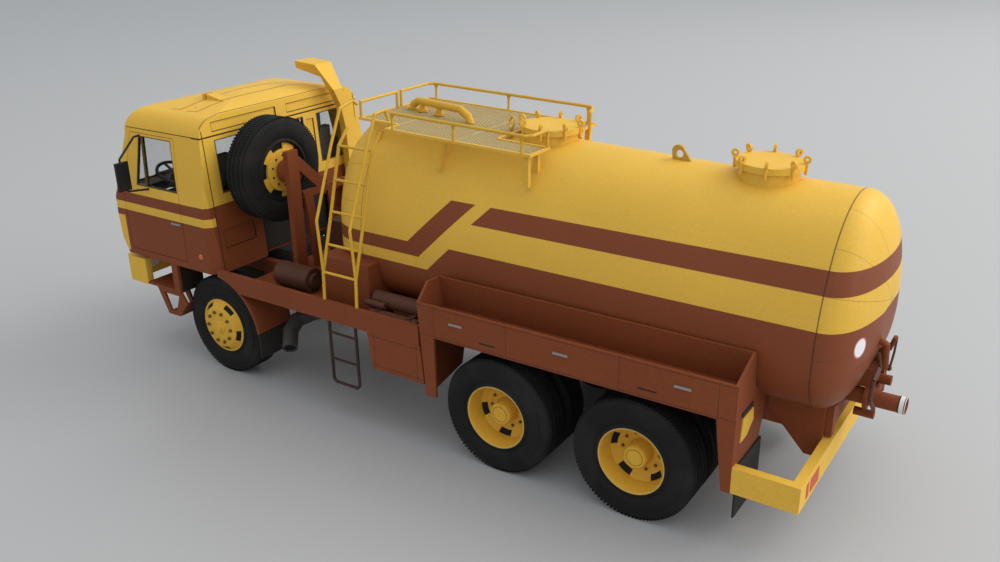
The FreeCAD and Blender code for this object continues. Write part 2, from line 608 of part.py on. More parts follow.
roof_recesses = [wall_zone(low + ZERO, high + ZERO, s.cab_split + 1.2, s.cab_split + 4.2, s.recess)
                 for low, high in ((3.3, 31.0), (-31.0, -1.8))]
pillar_recess = both(wall_zone(10.6 + ZERO, 13.8 + ZERO, 64.0 + ZERO, 78.4 + ZERO, s.recess))
low_recess = both(wall_zone(20.0 + ZERO, 33.3 + ZERO, 44.3 + ZERO, 50.4 + ZERO, s.recess))
tunnel_hole = wall_zone(-s.tunnel_half, s.tunnel_half, CAB_LOW - 1.0, s.tunnel_high, s.cab_skin * 3)
grille_hole = block(s.front_reach - 8.0, ZERO + FAR, -s.grille_half, s.grille_half, s.grille_low,
                    s.grille_high)


def groove_zone(x):
    """A line across the roof whose left end turns forward."""
    near, far, wide = s.cab_shoulder_half - 2.4, s.cab_shoulder_half - 1.4, s.groove
    return plate("XY", [(x, -s.cab_shoulder_half), (x + wide, -s.cab_shoulder_half), (x + wide, near),
                        (x + 4.5, far), (x + 4.5, far + wide), (x, near + wide)], s.cab_split,
                 s.cab_split + FAR)


grooves = cut(fuse(groove_zone(17.0 + ZERO), groove_zone(9.4 + ZERO),
                   rod(13.2, 25.5, s.cab_split, (0, 0, 1), 0.45, 20.0)),
              inset_hull)
SCOOP = [(6.5, 88.3), (19.0, 88.3), (19.0, 90.5), (17.6, 90.7), (6.5, 88.6)]
walls = cut(shell, gap_zone, floor_zone)
node("cab_roof", cut(fuse(common(shell, roof_zone), plate("XZ", SCOOP, ZERO + 14.0, ZERO + 17.5)),
                     grooves, *roof_recesses))
node("cab_floor", cut(common(shell, floor_zone), tunnel_hole))
node("cab_front", cut(common(walls, front_zone), screen_hole, grille_hole))
node("cab_rear_wall", cut(common(walls, rear_zone), tunnel_hole, pillar_recess, low_recess, *rear_holes))
side_shell = cut(walls, front_zone, rear_zone)
node("cab_sides", cut(side_shell, door_hole))
node("cab_doors", cut(common(side_shell, door_leaf), *panes))
node("cab_glass", common(film_shell, panes[0]), common(film_shell, panes[1]), common(film_shell, screen_hole),
     *[common(film_shell, hole) for hole in rear_holes])

FLOOR_TOP = CAB_LOW + s.cab_skin
GRILLE_FACE = s.front_reach - 1.2
SLATS = 6
slat_step = (s.grille_high - s.grille_low - s.fit_gap * 2) / SLATS
slats = [block(GRILLE_FACE - s.slat, GRILLE_FACE, s.fit_gap - s.grille_half, s.grille_half - s.fit_gap,
               s.grille_low + s.fit_gap + slat_step * i, s.grille_low + s.fit_gap + slat_step * i + s.slat)
         for i in range(SLATS)]
grille_back = block(GRILLE_FACE - s.slat * 1.5, GRILLE_FACE - s.slat * 0.9, s.fit_gap - s.grille_half,
                    s.grille_half - s.fit_gap, s.grille_low + s.fit_gap, s.grille_high - s.fit_gap)
node("grille", fuse(grille_back, *slats))
node("engine_tunnel", block(wall_x(s.tunnel_high) + s.cab_skin + s.seam, s.front_reach - 9.0,
                            s.fit_gap - s.tunnel_half,
                            s.tunnel_half - s.fit_gap, FLOOR_TOP, s.tunnel_high - s.fit_gap))
SEAT_IN = s.tunnel_half + 1.2
seat = fuse(block(ZERO + 4.0, ZERO + 17.0, SEAT_IN, s.seat_out, FLOOR_TOP, s.seat_high),
            block(ZERO + 4.0, ZERO + 7.5, SEAT_IN, s.seat_out, s.seat_high - 1.0, s.seat_back_high),
            block(ZERO + 4.2, ZERO + 6.8, SEAT_IN + 3.6, s.seat_out - 3.6, s.seat_back_high - 1.0,
                  s.seat_back_high + 5.0))
node("seats", both(seat))
DASH_END = HALF - 3.4
dash = plate("XZ", [(s.front_reach - 10.0, s.tunnel_high + 0.4), (s.front_reach - 6.4, s.tunnel_high + 0.4),
                    (s.front_reach - 6.9, s.cab_waist + 4.8), (s.front_reach - 11.2, s.cab_waist + 4.4)],
             -DASH_END, DASH_END)
STEER_AXIS = (-0.45, 0, 0.9)
STEERING_X = s.front_reach - s.steering_back
steering = fuse(ring(STEERING_X, s.steering_y, s.steering_z, STEER_AXIS, s.steering_r, s.steering_wire),
                rod(STEERING_X - s.steering_r + 0.65, s.steering_y, s.steering_z - s.steering_r / 2 + 0.3,
                    (0.9, 0, 0.45),
                    s.steering_wire * 0.8, s.steering_r * 2 - 0.2),
                rod(STEERING_X, s.steering_y, s.steering_z + 0.3, (0.45, 0, -0.9), s.steering_wire * 2.4,
                    s.steering_r))
node("dashboard", dash, cut(steering, dash))

# Mirrors on bent wire arms.
mirror_card = group(block(-s.mirror_thick / 2, s.mirror_thick / 2, -s.mirror_wide / 2, s.mirror_wide / 2,
                          -s.mirror_high / 2, s.mirror_high / 2))
MIRROR_X = s.front_reach - s.mirror_back
settle(mirror_card, MIRROR_X, s.mirror_y, s.mirror_z, Rotation())
ARM_IN = HALF - 1.7
arm = wire_path([(MIRROR_X + 0.9, ARM_IN - 0.6, 79.4), (MIRROR_X + 2.4, ARM_IN + 3.0, 78.8),
                 (MIRROR_X + 1.2, s.mirror_y - 0.2, 72.0),
                 (MIRROR_X + 1.2, s.mirror_y - 0.2, 60.4), (MIRROR_X + 0.7, s.mirror_y - 1.4, 59.6),
                 (MIRROR_X - 2.2, HALF - 0.6, 61.0)],
                0.45)
node("mirrors", both(fuse(mirror_card, cut(arm, outer_hull))))

# Air intake behind the cab: a filter box on the deck, a thin duct and a head that leans over the roof.
FILTER = [(-17.0 + ZERO, DECK_FACE), (-11.4 + ZERO, DECK_FACE), (-s.duct_front - 1.0, 42.0 + ZERO),
          (-s.duct_front - 1.0, 54.0 + ZERO),
          (-17.0 + ZERO, 54.0 + ZERO)]
DUCT = [(-25.0 + ZERO, 46.0 + ZERO), (-25.0 + ZERO, 58.0 + ZERO), (-24.2 + ZERO, 73.6 + ZERO),
        (-22.4 + ZERO, 82.0 + ZERO),
        (-s.mouth_left - 2.5, s.duct_high), (1.4 - s.mouth_right, s.duct_high), (-27.4 + ZERO, 83.0 + ZERO),
        (-30.6 + ZERO, 72.0 + ZERO), (-30.6 + ZERO, 46.0 + ZERO)]
HEAD = [(-s.duct_rear, s.duct_high), (0.3 - s.duct_front, s.duct_high - 0.2),
        (1.8 - s.duct_front, s.duct_high + 4.4),
        (12.8 - s.duct_front, s.duct_high + 6.8), (12.6 - s.duct_front, s.duct_high + 9.4),
        (5.8 - s.duct_rear, s.duct_high + 8.7)]
HEAD_FACE = [(-s.mouth_left - 2.5, s.duct_high - 0.3), (-s.mouth_left, s.duct_high + 8.7),
             (-s.mouth_left, s.duct_high + 10.0),
             (-s.mouth_right, s.duct_high + 10.0), (-s.mouth_right, s.duct_high + 8.7),
             (1.4 - s.mouth_right, s.duct_high - 0.3)]
filter_box = plate("XZ", FILTER, -31.4 + ZERO, -22.6 + ZERO)
duct = plate("YZ", DUCT, -s.duct_rear, -s.duct_front)
head = common(plate("XZ", HEAD, -s.mouth_right - 1.0, 1.0 - s.mouth_left),
              plate("YZ", HEAD_FACE, -s.duct_rear - 4.0, 16.0 - s.duct_front))
throat = block(8.0 - s.duct_front, 16.0 - s.duct_front, CARD - s.mouth_right, -CARD - s.mouth_left,
               s.duct_high + 7.3, s.duct_high + 8.7)
node("snorkel", cut(fuse(filter_box, duct, head), throat))

# Side beams and deck, front mudguards and flaps.
node("deck", block(TRAY_FRONT, -s.beam_front, s.beam_wide - HALF, HALF - s.beam_wide, s.rail_high, DECK_FACE))
GUARD_R = s.tyre_r + s.guard_gap
GUARD_OUT = GUARD_R + s.card
beam = cut(block(TRAY_FRONT, -s.cab_rear - s.seam, HALF - s.beam_wide, HALF, s.beam_low, s.beam_high),
           rod(ZERO, s.guard_in, s.tyre_r, (0, 1, 0), GUARD_R, HALF))
node("side_beams", both(beam))
LOW_TURN, HIGH_TURN = math.radians(7), math.radians(38)


def on_guard(radius, angle):
    return (radius * -math.cos(angle), s.tyre_r + radius * math.sin(angle))


GUARD = [on_guard(GUARD_R, LOW_TURN), on_guard(GUARD_R, HIGH_TURN), (-s.beam_front + 0.2, s.rail_high),
         (-s.beam_front - CARD, s.rail_high), on_guard(GUARD_OUT, HIGH_TURN) + (GUARD_OUT,),
         on_guard(GUARD_OUT, LOW_TURN)]
guard = cut(plate("XZ", GUARD, s.guard_in, HALF), rod(ZERO, s.guard_in - 1.0, s.tyre_r, (0, 1, 0), GUARD_R,
                                                      HALF), beam)
node("front_mudguards", both(guard))
front_flap = block(-GUARD_R - 0.5, -GUARD_R, s.guard_in + 0.5, HALF - 0.2, s.front_flap_low, s.tyre_r + 2.2)
rear_flap = block(TRAY_REAR - 0.5, TRAY_REAR, s.flap_in, s.flap_out, s.flap_low, s.bar_high - 0.9)
node("mud_flaps", both(front_flap, rear_flap))

# Exhaust: a bent pipe with an open mouth under the left side beam.
MOUTH = (-28.3, 34.0, 14.8)
ELBOW = (-24.6, 29.6, 18.4)
INWARDS = tuple(high - low for low, high in zip(MOUTH, ELBOW))
exhaust = wire_path([(-40.0, 10.0, 22.0), (-33.0, 13.0, 22.0), (-26.0, 20.0, 21.6), (-23.8, 25.4, 20.6),
                     ELBOW, MOUTH], s.exhaust_r)
mouth_bore = rod(MOUTH[0] - INWARDS[0] * 0.1, MOUTH[1] - INWARDS[1] * 0.1, MOUTH[2] - INWARDS[2] * 0.1,
                 INWARDS,
                 s.exhaust_bore_r, 4.4)
node("exhaust", cut(exhaust, mouth_bore))

# Boxes on the left and right: lockers under the side beams, one box under the ladder.
LOCKER = [(TRAY_FRONT + s.locker_long, s.beam_low), (TRAY_FRONT - 0.4, s.beam_low),
          (TRAY_FRONT - s.locker_lean, s.locker_low),
          (TRAY_FRONT + s.locker_long - s.locker_lean, s.locker_low)]

# Tank: sections of arcs with a level bottom and a top that falls to the rear.
SIN60, COS60 = math.sin(math.radians(60)), math.cos(math.radians(60))


def tank_points(top, half, crown_r, corner_r, side_flat, side_bulge):
    turn = (crown_r * SIN60, top - crown_r * (1 - COS60))
    wide = (half, s.tank_low + corner_r + side_flat)
    side_r = arc_radius(wide, turn, side_bulge)
    flat = half - corner_r
    low = s.tank_low
    return [(-flat, low), (flat, low, corner_r), (half, low + corner_r), wide + (side_r,), turn + (crown_r,),
            (-turn[0], turn[1], side_r), (-wide[0], wide[1]), (-half, low + corner_r, corner_r)]


def dome(points, seam, depth, power):
    """Sections that shrink along a superellipse to a small flat middle."""
    sections = []
    for share in (0.0, 0.3, 0.58, 0.8, 0.93, 0.99):
        size = (1 - share ** power) ** (1 / power)
        small = [(point[0] * size,
                  (point[1] - s.dome_heart) * size + s.dome_heart) + tuple(r * size for r in point[2:])
                 for point in points]
        sections.append(section(small, seam + depth * (share / 0.99)))
    return loft(sections, False)


front_points = tank_points(s.tank_top_front, s.tank_half_front, s.crown_r_front, s.corner_r_front,
                           s.side_flat_front, s.side_bulge_front)
rear_points = tank_points(s.tank_top_rear, s.tank_half_rear, s.crown_r_rear, s.corner_r_rear,
                          s.side_flat_rear, s.side_bulge_rear)
shell_body = loft([section(front_points, TANK_FRONT), section(rear_points, TANK_REAR)], True)
tank_body = fuse(shell_body, dome(front_points, TANK_FRONT, s.dome_front, 2.6),
                 dome(rear_points, TANK_REAR, -s.dome_rear, 2.3))
node("tank", tank_body)


def saddle(at):
    foot = DECK_FACE if float(at) > float(TRAY_FRONT) else s.rail_high
    return cut(plate("YZ", [(-s.saddle_foot, foot), (s.saddle_foot, foot), (s.saddle_wide, s.saddle_high),
                            (-s.saddle_wide, s.saddle_high)], at - s.saddle_long / 2,
                     at + s.saddle_long / 2), tank_body)


node("tank_saddles", *[saddle(at) for at in (TANK_FRONT - 13.0, BEFORE_REAR - 6.0, BETWEEN_REAR + 4.8,
                                             REAR2 - 4.6, TANK_REAR + 7.1)])
ladder_box = cut(block(-s.box_rear, -s.box_front, s.box_in, s.box_out, DECK_FACE, s.box_high), tank_body)
node("lockers", both(plate("XZ", LOCKER, s.locker_in, HALF)), ladder_box)

# Machinery on the deck: pump, air bottles and pipes.
pump = block(ZERO - 37.0, ZERO - 22.6, ZERO - 16.0, ZERO + 6.0, DECK_FACE, DECK_FACE + 15.8)
bottle = rod(ZERO - 36.0, 28.0, DECK_FACE + 4.0, (1, 0, 0), 4.0, 14.0)
bottle_caps = [rod(x, 28.0, DECK_FACE + 4.0, (1, 0, 0), 2.4, 1.2) for x in (-37.1, -22.1)]
deck_rods = [rod(x, y, z, (1, 0, 0), radius, long) for x, y, z, radius, long in (
    (-84.0, 30.0, 39.4, 2.4, 20.0), (-83.0, 34.2, 36.2, 1.6, 18.0), (-70.0, 33.4, 39.0, 1.0, 7.6))]
deck_feet = [block(ZERO + x - 0.8, ZERO + x + 0.8, ZERO + 28.4, ZERO + 35.0, DECK_FACE, DECK_FACE + 3.8)
             for x in (-80.0, -68.0)]
node("deck_machinery", pump, fuse(bottle, *bottle_caps), cut(fuse(*deck_rods, *deck_feet), tank_body))
node("engine_block", block(ZERO - 6.0, ZERO + 30.0, ZERO - 9.0, ZERO + 9.0, s.bumper_low - 2.7, CAB_LOW))

# Ladders of wire.
LOW_LADDER = [(-s.low_ladder_rear, s.low_ladder_y, s.beam_low),
              (-s.low_ladder_rear, s.low_ladder_y, s.low_ladder_low + 1.0),
              (1.0 - s.low_ladder_rear, s.low_ladder_y, s.low_ladder_low),
              (-1.0 - s.low_ladder_front, s.low_ladder_y, s.low_ladder_low),
              (-s.low_ladder_front, s.low_ladder_y, s.low_ladder_low + 1.0),
              (-s.low_ladder_front, s.low_ladder_y, s.beam_low)]
low_rungs = [rod(-s.low_ladder_rear, s.low_ladder_y, s.low_ladder_low + up, (1, 0, 0), s.rung_r,
                 s.low_ladder_rear - s.low_ladder_front) for up in (8.0, 16.8)]
node("lower_ladders", both(fuse(wire_path(LOW_LADDER, s.stile_r), *low_rungs)))
FOOT_Y = HALF - 1.0
RUNGS = ((1.5, 47.3), (4.1, 55.3), (7.0, 64.7), (9.4, 73.9), (12.4, 83.4))
LADDER_SPAN = s.ladder_right - s.ladder_left
stiles = [wire_path([(-at, FOOT_Y, s.beam_high), (-at, HALF - 1.5, 47.2), (-at, HALF - 7.0, 64.7),
                     (-at, HALF - 12.4, 83.4), (-at, HALF - 16.7, 87.9)], s.stile_r)
          for at in (s.ladder_left, s.ladder_right)]
up_rungs = [rod(-s.ladder_right, HALF - inward, ZERO + z, (1, 0, 0), s.rung_r, LADDER_SPAN) for inward,
            z in RUNGS]
LEFT_HAND = [(-s.ladder_left, HALF - 1.5, 47.2), (-s.ladder_left, HALF - 0.6, 63.5),
             (-s.ladder_left, HALF - 9.1, 84.1),
             (-s.ladder_left, HALF - 14.0, 94.0), (-s.ladder_left, HALF - 19.7, 95.4),
             (-s.ladder_left, HALF - 21.6, 93.9)]
RIGHT_HAND = [(-s.ladder_right, HALF - 1.5, 47.2), (-s.ladder_right, HALF - 0.6, 62.7),
              (-s.ladder_right, HALF - 11.8, 88.3),
              (-s.ladder_right, HALF - 14.6, 93.6), (-s.ladder_right, HALF - 19.1, 94.0),
              (-s.ladder_right, HALF - 20.3, 90.6)]
node("upper_ladder", fuse(*stiles, *up_rungs, wire_path(LEFT_HAND, s.hand_r),
                          wire_path(RIGHT_HAND, s.hand_r)))

# Pieces on the crown are set along the sloping top.
FALL = float(s.tank_top_front - s.tank_top_rear) / float(TANK_FRONT - TANK_REAR)
SLOPE = math.degrees(math.atan(FALL))
CROWN_AT_AXLE = s.tank_top_front - TANK_FRONT * FALL
CROWN_TURN = Rotation(Vector(0, 1, 0), -SLOPE)
CROWN = {"z": CROWN_AT_AXLE, "turn": CROWN_TURN}
tank_seen_level = group(tank_body)
tank_seen_level.Placement = Placement(Vector(0, 0, float(CROWN_AT_AXLE)), CROWN_TURN).inverse()
LID_TOP = s.manhole_high + s.lid_thick


def manhole(at):
    """A collar with its lid and a ring of swing clamps with eye nuts."""
    collar = rod(at, 0.0, -4.0, (0, 0, 1), s.manhole_r, s.manhole_high + 4.0)
    flange = rod(at, 0.0, s.manhole_high - s.lid_thick, (0, 0, 1), s.manhole_flange_r, s.lid_thick * 2)
    nuts = []
    for i in range(8):
        a = math.radians(45 * i + 12)
        x, y = at + s.clamp_at * math.cos(a), s.clamp_at * math.sin(a)
        along = (-math.sin(a), math.cos(a), 0)
        half = s.clamp_thick / 2
        bolt = rod(x, y, s.manhole_high - 2.0, (0, 0, 1), s.clamp_bore_r, LID_TOP - s.manhole_high + 2.4)
        eye = rod(x - half * along[0], y - half * along[1], LID_TOP + s.clamp_r, along, s.clamp_r,
                  s.clamp_thick)
        hole = rod(x - s.clamp_thick * along[0], y - s.clamp_thick * along[1], LID_TOP + s.clamp_r, along,
                   s.clamp_bore_r, s.clamp_thick * 2)
        nuts.append(cut(fuse(bolt, eye), hole))
    return cut(fuse(collar, flange, *nuts), tank_seen_level)


MANHOLE_FRONT = TANK_FRONT - s.manhole_ahead
MANHOLE_REAR = TANK_REAR + s.manhole_behind
node("manhole_front", manhole(MANHOLE_FRONT), **CROWN)
node("manhole_rear", manhole(MANHOLE_REAR), **CROWN)
EYE_X = TANK_REAR + s.lug_behind
LUG_TOP = s.lug_eye_high + s.lug_eye_r + CARD
LUG = [(EYE_X - 3.7, ZERO - 0.6), (EYE_X + 1.8, ZERO - 0.6),
       (EYE_X + 2.2, s.lug_eye_high + 1.0, s.lug_eye_r + CARD),
       (EYE_X - 0.9, LUG_TOP - 0.1)]
lug = cut(plate("XZ", LUG, -s.lug_thick / 2, s.lug_thick / 2),
          rod(EYE_X, -s.lug_thick, s.lug_eye_high, (0, 1, 0), s.lug_eye_r, s.lug_thick * 2), tank_seen_level)
node("lifting_lug", lug, **CROWN)

DECK_LOW = s.deck_gap
DECK_TOP = s.deck_gap + s.grating
MAIN_FRONT = TANK_FRONT - s.deck_start
MAIN_REAR = TANK_FRONT - s.deck_end
LANDING = TANK_FRONT + s.landing_start
CUTOUT = TANK_FRONT - s.cutout_start
FAR_REAR = MAIN_REAR + s.far_short
DECK_PLAN = [(FAR_REAR, -s.deck_right), (LANDING, -s.deck_right), (LANDING, s.landing_left),
             (MAIN_FRONT, s.landing_left),
             (MAIN_FRONT, s.deck_half), (MAIN_REAR, s.deck_half), (MAIN_REAR, s.cutout_left),
             (CUTOUT, s.cutout_left),
             (CUTOUT, -s.cutout_right), (MAIN_REAR, -s.cutout_right)]
node("platform_deck", plate("XY", DECK_PLAN, DECK_LOW, DECK_TOP), **CROWN)


def leg(at, out, drop):
    """A flat leg between the deck and the tank's shoulder."""
    return plate("YZ", [(out - 1.4, DECK_LOW - drop), (out - 0.2, DECK_LOW - drop), (out, DECK_LOW),
                        (out - 1.0, DECK_LOW)],
                 at, at + s.leg_thick)


LEG_INSET, INNER_INSET = 1.6, 6.4
near_legs = [leg(at, s.deck_half - inset, drop) for at in (TANK_FRONT - 27.0, MAIN_REAR + 1.6)
             for inset, drop in ((LEG_INSET, s.leg_drop), (INNER_INSET, s.leg_drop * 0.7))]
far_legs = [mirrored(leg(at, s.deck_right - inset, drop)) for at in (TANK_FRONT - 27.0, FAR_REAR + 0.8)
            for inset, drop in ((LEG_INSET, s.leg_drop), (INNER_INSET, s.leg_drop * 0.7))]
front_leg = leg(TANK_FRONT - 1.0, s.landing_left - 0.6, s.leg_drop * 0.7)
node("platform_supports", cut(group(*near_legs, *far_legs, both(front_leg)), tank_seen_level), **CROWN)
RAIL_Z = DECK_TOP + s.rail_above
INSIDE = s.deck_half - 0.2
FAR_SIDE = 0.2 - s.deck_right
near_rail = wire_path([(MAIN_FRONT - 2.6, INSIDE, RAIL_Z), (MAIN_REAR + 2.2, INSIDE, RAIL_Z),
                       (MAIN_REAR + 0.6, INSIDE - 1.6, RAIL_Z),
                       (MAIN_REAR + 0.6, s.cutout_left + 0.6, RAIL_Z),
                       (MAIN_REAR + 0.6, s.cutout_left + 0.6, DECK_TOP)], s.rail_wire_r)
far_rail = wire_path([(LANDING - 0.6, -3.6, DECK_TOP), (LANDING - 0.6, -3.6, RAIL_Z),
                      (LANDING - 0.6, FAR_SIDE + 1.6, RAIL_Z),
                      (LANDING - 2.2, FAR_SIDE, RAIL_Z), (FAR_REAR + 2.2, FAR_SIDE, RAIL_Z),
                      (FAR_REAR + 0.6, FAR_SIDE + 1.6, RAIL_Z),
                      (MAIN_REAR + 0.6, -s.cutout_right - 0.6, RAIL_Z),
                      (MAIN_REAR + 0.6, -s.cutout_right - 0.6, DECK_TOP)],
                     s.rail_wire_r)
front_rail = wire_path([(LANDING - 0.6, s.landing_left - 0.6, DECK_TOP),
                        (LANDING - 0.6, s.landing_left - 0.6, RAIL_Z),
                        (LANDING - 0.6, -1.6, RAIL_Z), (LANDING - 0.6, -1.6, DECK_TOP)], s.rail_wire_r)


def posts(stations, y):
    return [rod(at, y, DECK_TOP, (0, 0, 1), s.post_r, s.rail_above) for at in stations]


near_posts = posts((MAIN_FRONT - 2.9, TANK_FRONT - 33.4, MAIN_REAR + 2.9), INSIDE)
far_posts = posts((LANDING - 2.9, TANK_FRONT - 25.0, FAR_REAR + 2.9), FAR_SIDE)
node("platform_rails", fuse(near_rail, *near_posts), fuse(far_rail, *far_posts), front_rail, **CROWN)
PIPE_Z = s.deck_gap + s.top_pipe_high
TOP_PIPE = [(TANK_FRONT, -2.6, 0.0), (TANK_FRONT - 0.5, -2.5, PIPE_Z - 1.7),
            (TANK_FRONT - 3.0, -2.0, PIPE_Z - 0.2),
            (TANK_FRONT - 21.0, 1.2, PIPE_Z), (TANK_FRONT - 24.2, 1.8, PIPE_Z - 1.5),
            (TANK_FRONT - 25.8, 2.1, 0.0)]
STUB_AT = ((TANK_FRONT - 4.6, -1.7), (TANK_FRONT - 11.9, -0.4))
stubs = [rod(at, y, DECK_TOP, (0, 0, 1), s.top_pipe_r * 0.8, s.top_pipe_high - 1.0) for at, y in STUB_AT]
stub_feet = [rod(at, y, DECK_TOP, (0, 0, 1), s.top_pipe_r * 1.4, 0.6) for at,
             y in STUB_AT + ((TANK_FRONT, -2.6),)]
pipe_body = cut(fuse(wire_path(TOP_PIPE, s.top_pipe_r), *stubs, *stub_feet),
                block(LANDING - FAR, LANDING + FAR, -s.deck_half, s.deck_half, ZERO - 5.0, DECK_TOP))
hand_wheel = fuse(ring(TANK_FRONT - 40.0, 2.4, DECK_TOP + 2.2, (0.55, 0.8, 0.2), 1.6, 0.32),
                  rod(TANK_FRONT - 40.0, 2.4, DECK_TOP, (0, 0, 1), 0.5, 1.0))
node("top_pipe", pipe_body, hand_wheel, **CROWN)

# Side trays over the rear wheels.
LEG_LOW = s.tray_leg_low
OPEN_FRONT = REAR1 + s.tyre_r + s.leg_front
OPEN_REAR = REAR2 - s.tyre_r - s.leg_rear
TRAY_WALL = [(TRAY_FRONT, s.tray_high), (TRAY_REAR, s.tray_high), (TRAY_REAR, LEG_LOW),
             (TRAY_REAR + 2.4, LEG_LOW),
             (OPEN_REAR, ARCH_TOP), (OPEN_FRONT, ARCH_TOP), (OPEN_FRONT, LEG_LOW),
             (TRAY_FRONT - s.tray_lean, LEG_LOW)]
tray_wall = plate("XZ", TRAY_WALL, HALF - CARD, HALF)
END_LOW = [(26.4 + ZERO, 41.0 + ZERO), (17.2 + ZERO, 34.9 + ZERO), (19.3 + ZERO, 27.3 + ZERO),
           (21.9 + ZERO, 20.6 + ZERO),
           (HALF, LEG_LOW)]
REAR_END = [(HALF, s.tray_high), (s.tray_inner - 0.3, s.tray_inner_high)] + END_LOW
FRONT_END = [(HALF, s.tray_high), (33.8 + ZERO, s.tray_inner_high + 0.4),
             (s.tray_inner, s.tray_inner_high)] + END_LOW
rear_end = plate("YZ", REAR_END, TRAY_REAR, TRAY_REAR + CARD)
FRONT_BAND = [(TRAY_FRONT + 0.3, s.tray_high + 5.0), (TRAY_FRONT + 0.3 - CARD, s.tray_high + 5.0),
              (TRAY_FRONT - s.tray_lean - CARD, LEG_LOW), (TRAY_FRONT - s.tray_lean, LEG_LOW)]
front_end = common(plate("YZ", FRONT_END, TRAY_FRONT - 6.0, TRAY_FRONT + 2.0),
                   plate("XZ", FRONT_BAND, ZERO + 10.0, HALF))
FLOOR_UP = ARCH_TOP + s.tray_floor_up
tray_floor = block(TRAY_REAR, TRAY_FRONT - CARD, s.tray_inner - 3.0, HALF - CARD / 2, FLOOR_UP,
                   FLOOR_UP + CARD)
inner_wall = plate("YZ", [(s.tray_inner - 1.1, s.tray_inner_high), (s.tray_inner - 0.3, s.tray_inner_high),
                          (s.tray_inner - 1.5, FLOOR_UP), (s.tray_inner - 2.4, FLOOR_UP)], TRAY_REAR,
                   TRAY_FRONT - CARD / 2)
node("side_trays", both(cut(fuse(tray_wall, rear_end, front_end, tray_floor, inner_wall), tank_body, beam)))
HANDLE_LONG, HANDLE_HIGH, HANDLE_OUT = 4.4, 0.6, 0.4
HANDLE_AT = ((TRAY_FRONT - 13.4, 41.9), (BETWEEN_REAR, 41.9), (TRAY_REAR + 13.4, 41.9), (ZERO + 14.0, 51.2))
node("handles", both(*[block(at - HANDLE_LONG / 2, at + HANDLE_LONG / 2, HALF, HALF + HANDLE_OUT, ZERO + z,
                             ZERO + z + HANDLE_HIGH)
                       for at, z in HANDLE_AT]))

# Rear bar, outlet pipe and valve.
bar = cut(block(BAR_END, TRAY_REAR, -HALF, HALF, s.bar_low, s.bar_high),
          block(BAR_FACE, ZERO, s.bar_thick - HALF, HALF - s.bar_thick, ZERO, ZERO + FAR))
node("rear_bumper", bar)
pipe = cut(rod(TAIL_END, s.outlet_y, s.outlet_z, (1, 0, 0), s.outlet_r, RAIL_REAR - TAIL_END),
           rod(TAIL_END, s.outlet_y, s.outlet_z, (1, 0, 0), s.outlet_bore_r, s.outlet_bore_long))
collar = rod(TANK_REAR - 9.0, s.outlet_y, s.outlet_z, (1, 0, 0), s.outlet_r + 1.0, 1.0)
drain = rod(TANK_REAR - 10.6, s.outlet_y - 1.0, s.outlet_z - 5.2, (1, 0, 0), 1.1, 5.0)
drain_leg = block(TANK_REAR - 8.6, TANK_REAR - 7.6, s.outlet_y - 1.8, s.outlet_y - 0.2, s.outlet_z - 5.2,
                  s.outlet_z)
node("outlet_pipe", cut(fuse(pipe, collar, drain, drain_leg), tank_body,
                        rod(TAIL_END, s.outlet_y, s.outlet_z, (1, 0, 0), s.outlet_bore_r,
                            s.outlet_bore_long)))
VALVE_X = TANK_REAR - s.valve_at
OUTLET_TOP = s.outlet_z + s.outlet_r
valve_box = fuse(block(VALVE_X - 1.6, VALVE_X + 2.0, s.valve_y - 2.0, s.valve_y + 2.0, s.outlet_z + 4.0,
                       s.valve_high),
                 block(VALVE_X - 0.4, VALVE_X + 6.0, s.valve_y - 1.0, s.valve_y + 8.0, OUTLET_TOP + 0.6,
                       s.outlet_z + 7.6))
valve_neck = rod(VALVE_X, s.valve_y, s.outlet_z - 1.0, (0, 0, 1), 1.9, 8.0)
valve_cross = rod(VALVE_X, s.valve_y, s.outlet_z + 0.4, (0, 1, 0), 1.6, s.outlet_y - s.valve_y)
valve_elbow = rod(VALVE_X - 0.6, s.valve_y + 2.6, s.outlet_z + 3.4, (-1, 0, 0), 1.3, 3.2)
lever = wire_path([(VALVE_X - 1.0, s.valve_y + 2.0, 43.8), (VALVE_X - 2.6, 0.2, 46.0),
                   (VALVE_X - 4.0, 2.6, 50.4)], 0.55)
bent = wire_path([(VALVE_X + 4.4, 5.2, 49.6), (VALVE_X - 0.6, 5.0, 50.2), (VALVE_X - 2.4, 4.4, 48.6),
                  (VALVE_X - 2.4, 2.4, 42.0),
                  (VALVE_X - 1.4, s.valve_y + 2.0, 40.0)], 0.9)
node("rear_valve", cut(fuse(valve_box, valve_neck, valve_cross, valve_elbow, lever, bent), tank_body,
                       rod(TAIL_END, s.outlet_y, s.outlet_z, (1, 0, 0), s.outlet_r, -TAIL_END), collar,
                       drain, drain_leg))

# Spare wheel and its carrier.
spare_spot = {"x": AXLE_X - s.spare_x, "y": s.spare_y, "z": s.spare_z, "turn": Rotation(Vector(0, 0, 1), 90)}
node("spare_tyre", tyre(ZERO), **spare_spot)
SPARE_WEB = SHORT_END - s.lip - s.spare_boss_high
SPARE_FACE = SPARE_WEB + s.web
spare_disc = turned([(SPARE_WEB, s.spare_bore_r), (SPARE_FACE + s.spare_boss_high, s.spare_bore_r),
                     (SPARE_FACE + s.spare_boss_high, s.spare_boss_r - 0.8), (SPARE_FACE, s.spare_boss_r),
                     (SPARE_FACE, BARREL_R), (SHORT_END, BARREL_R), (SHORT_END, s.tyre_seat_r),
                     (-SHORT_END, s.tyre_seat_r), (-SHORT_END, BARREL_R), (SPARE_WEB, BARREL_R)],
                    None, (slot_outline(s.spare_slot_long), 10))
node("spare_rim", spare_disc, **spare_spot)
POST_FACE = -s.carrier_at
POST_BACK = -s.carrier_at - s.carrier_thick
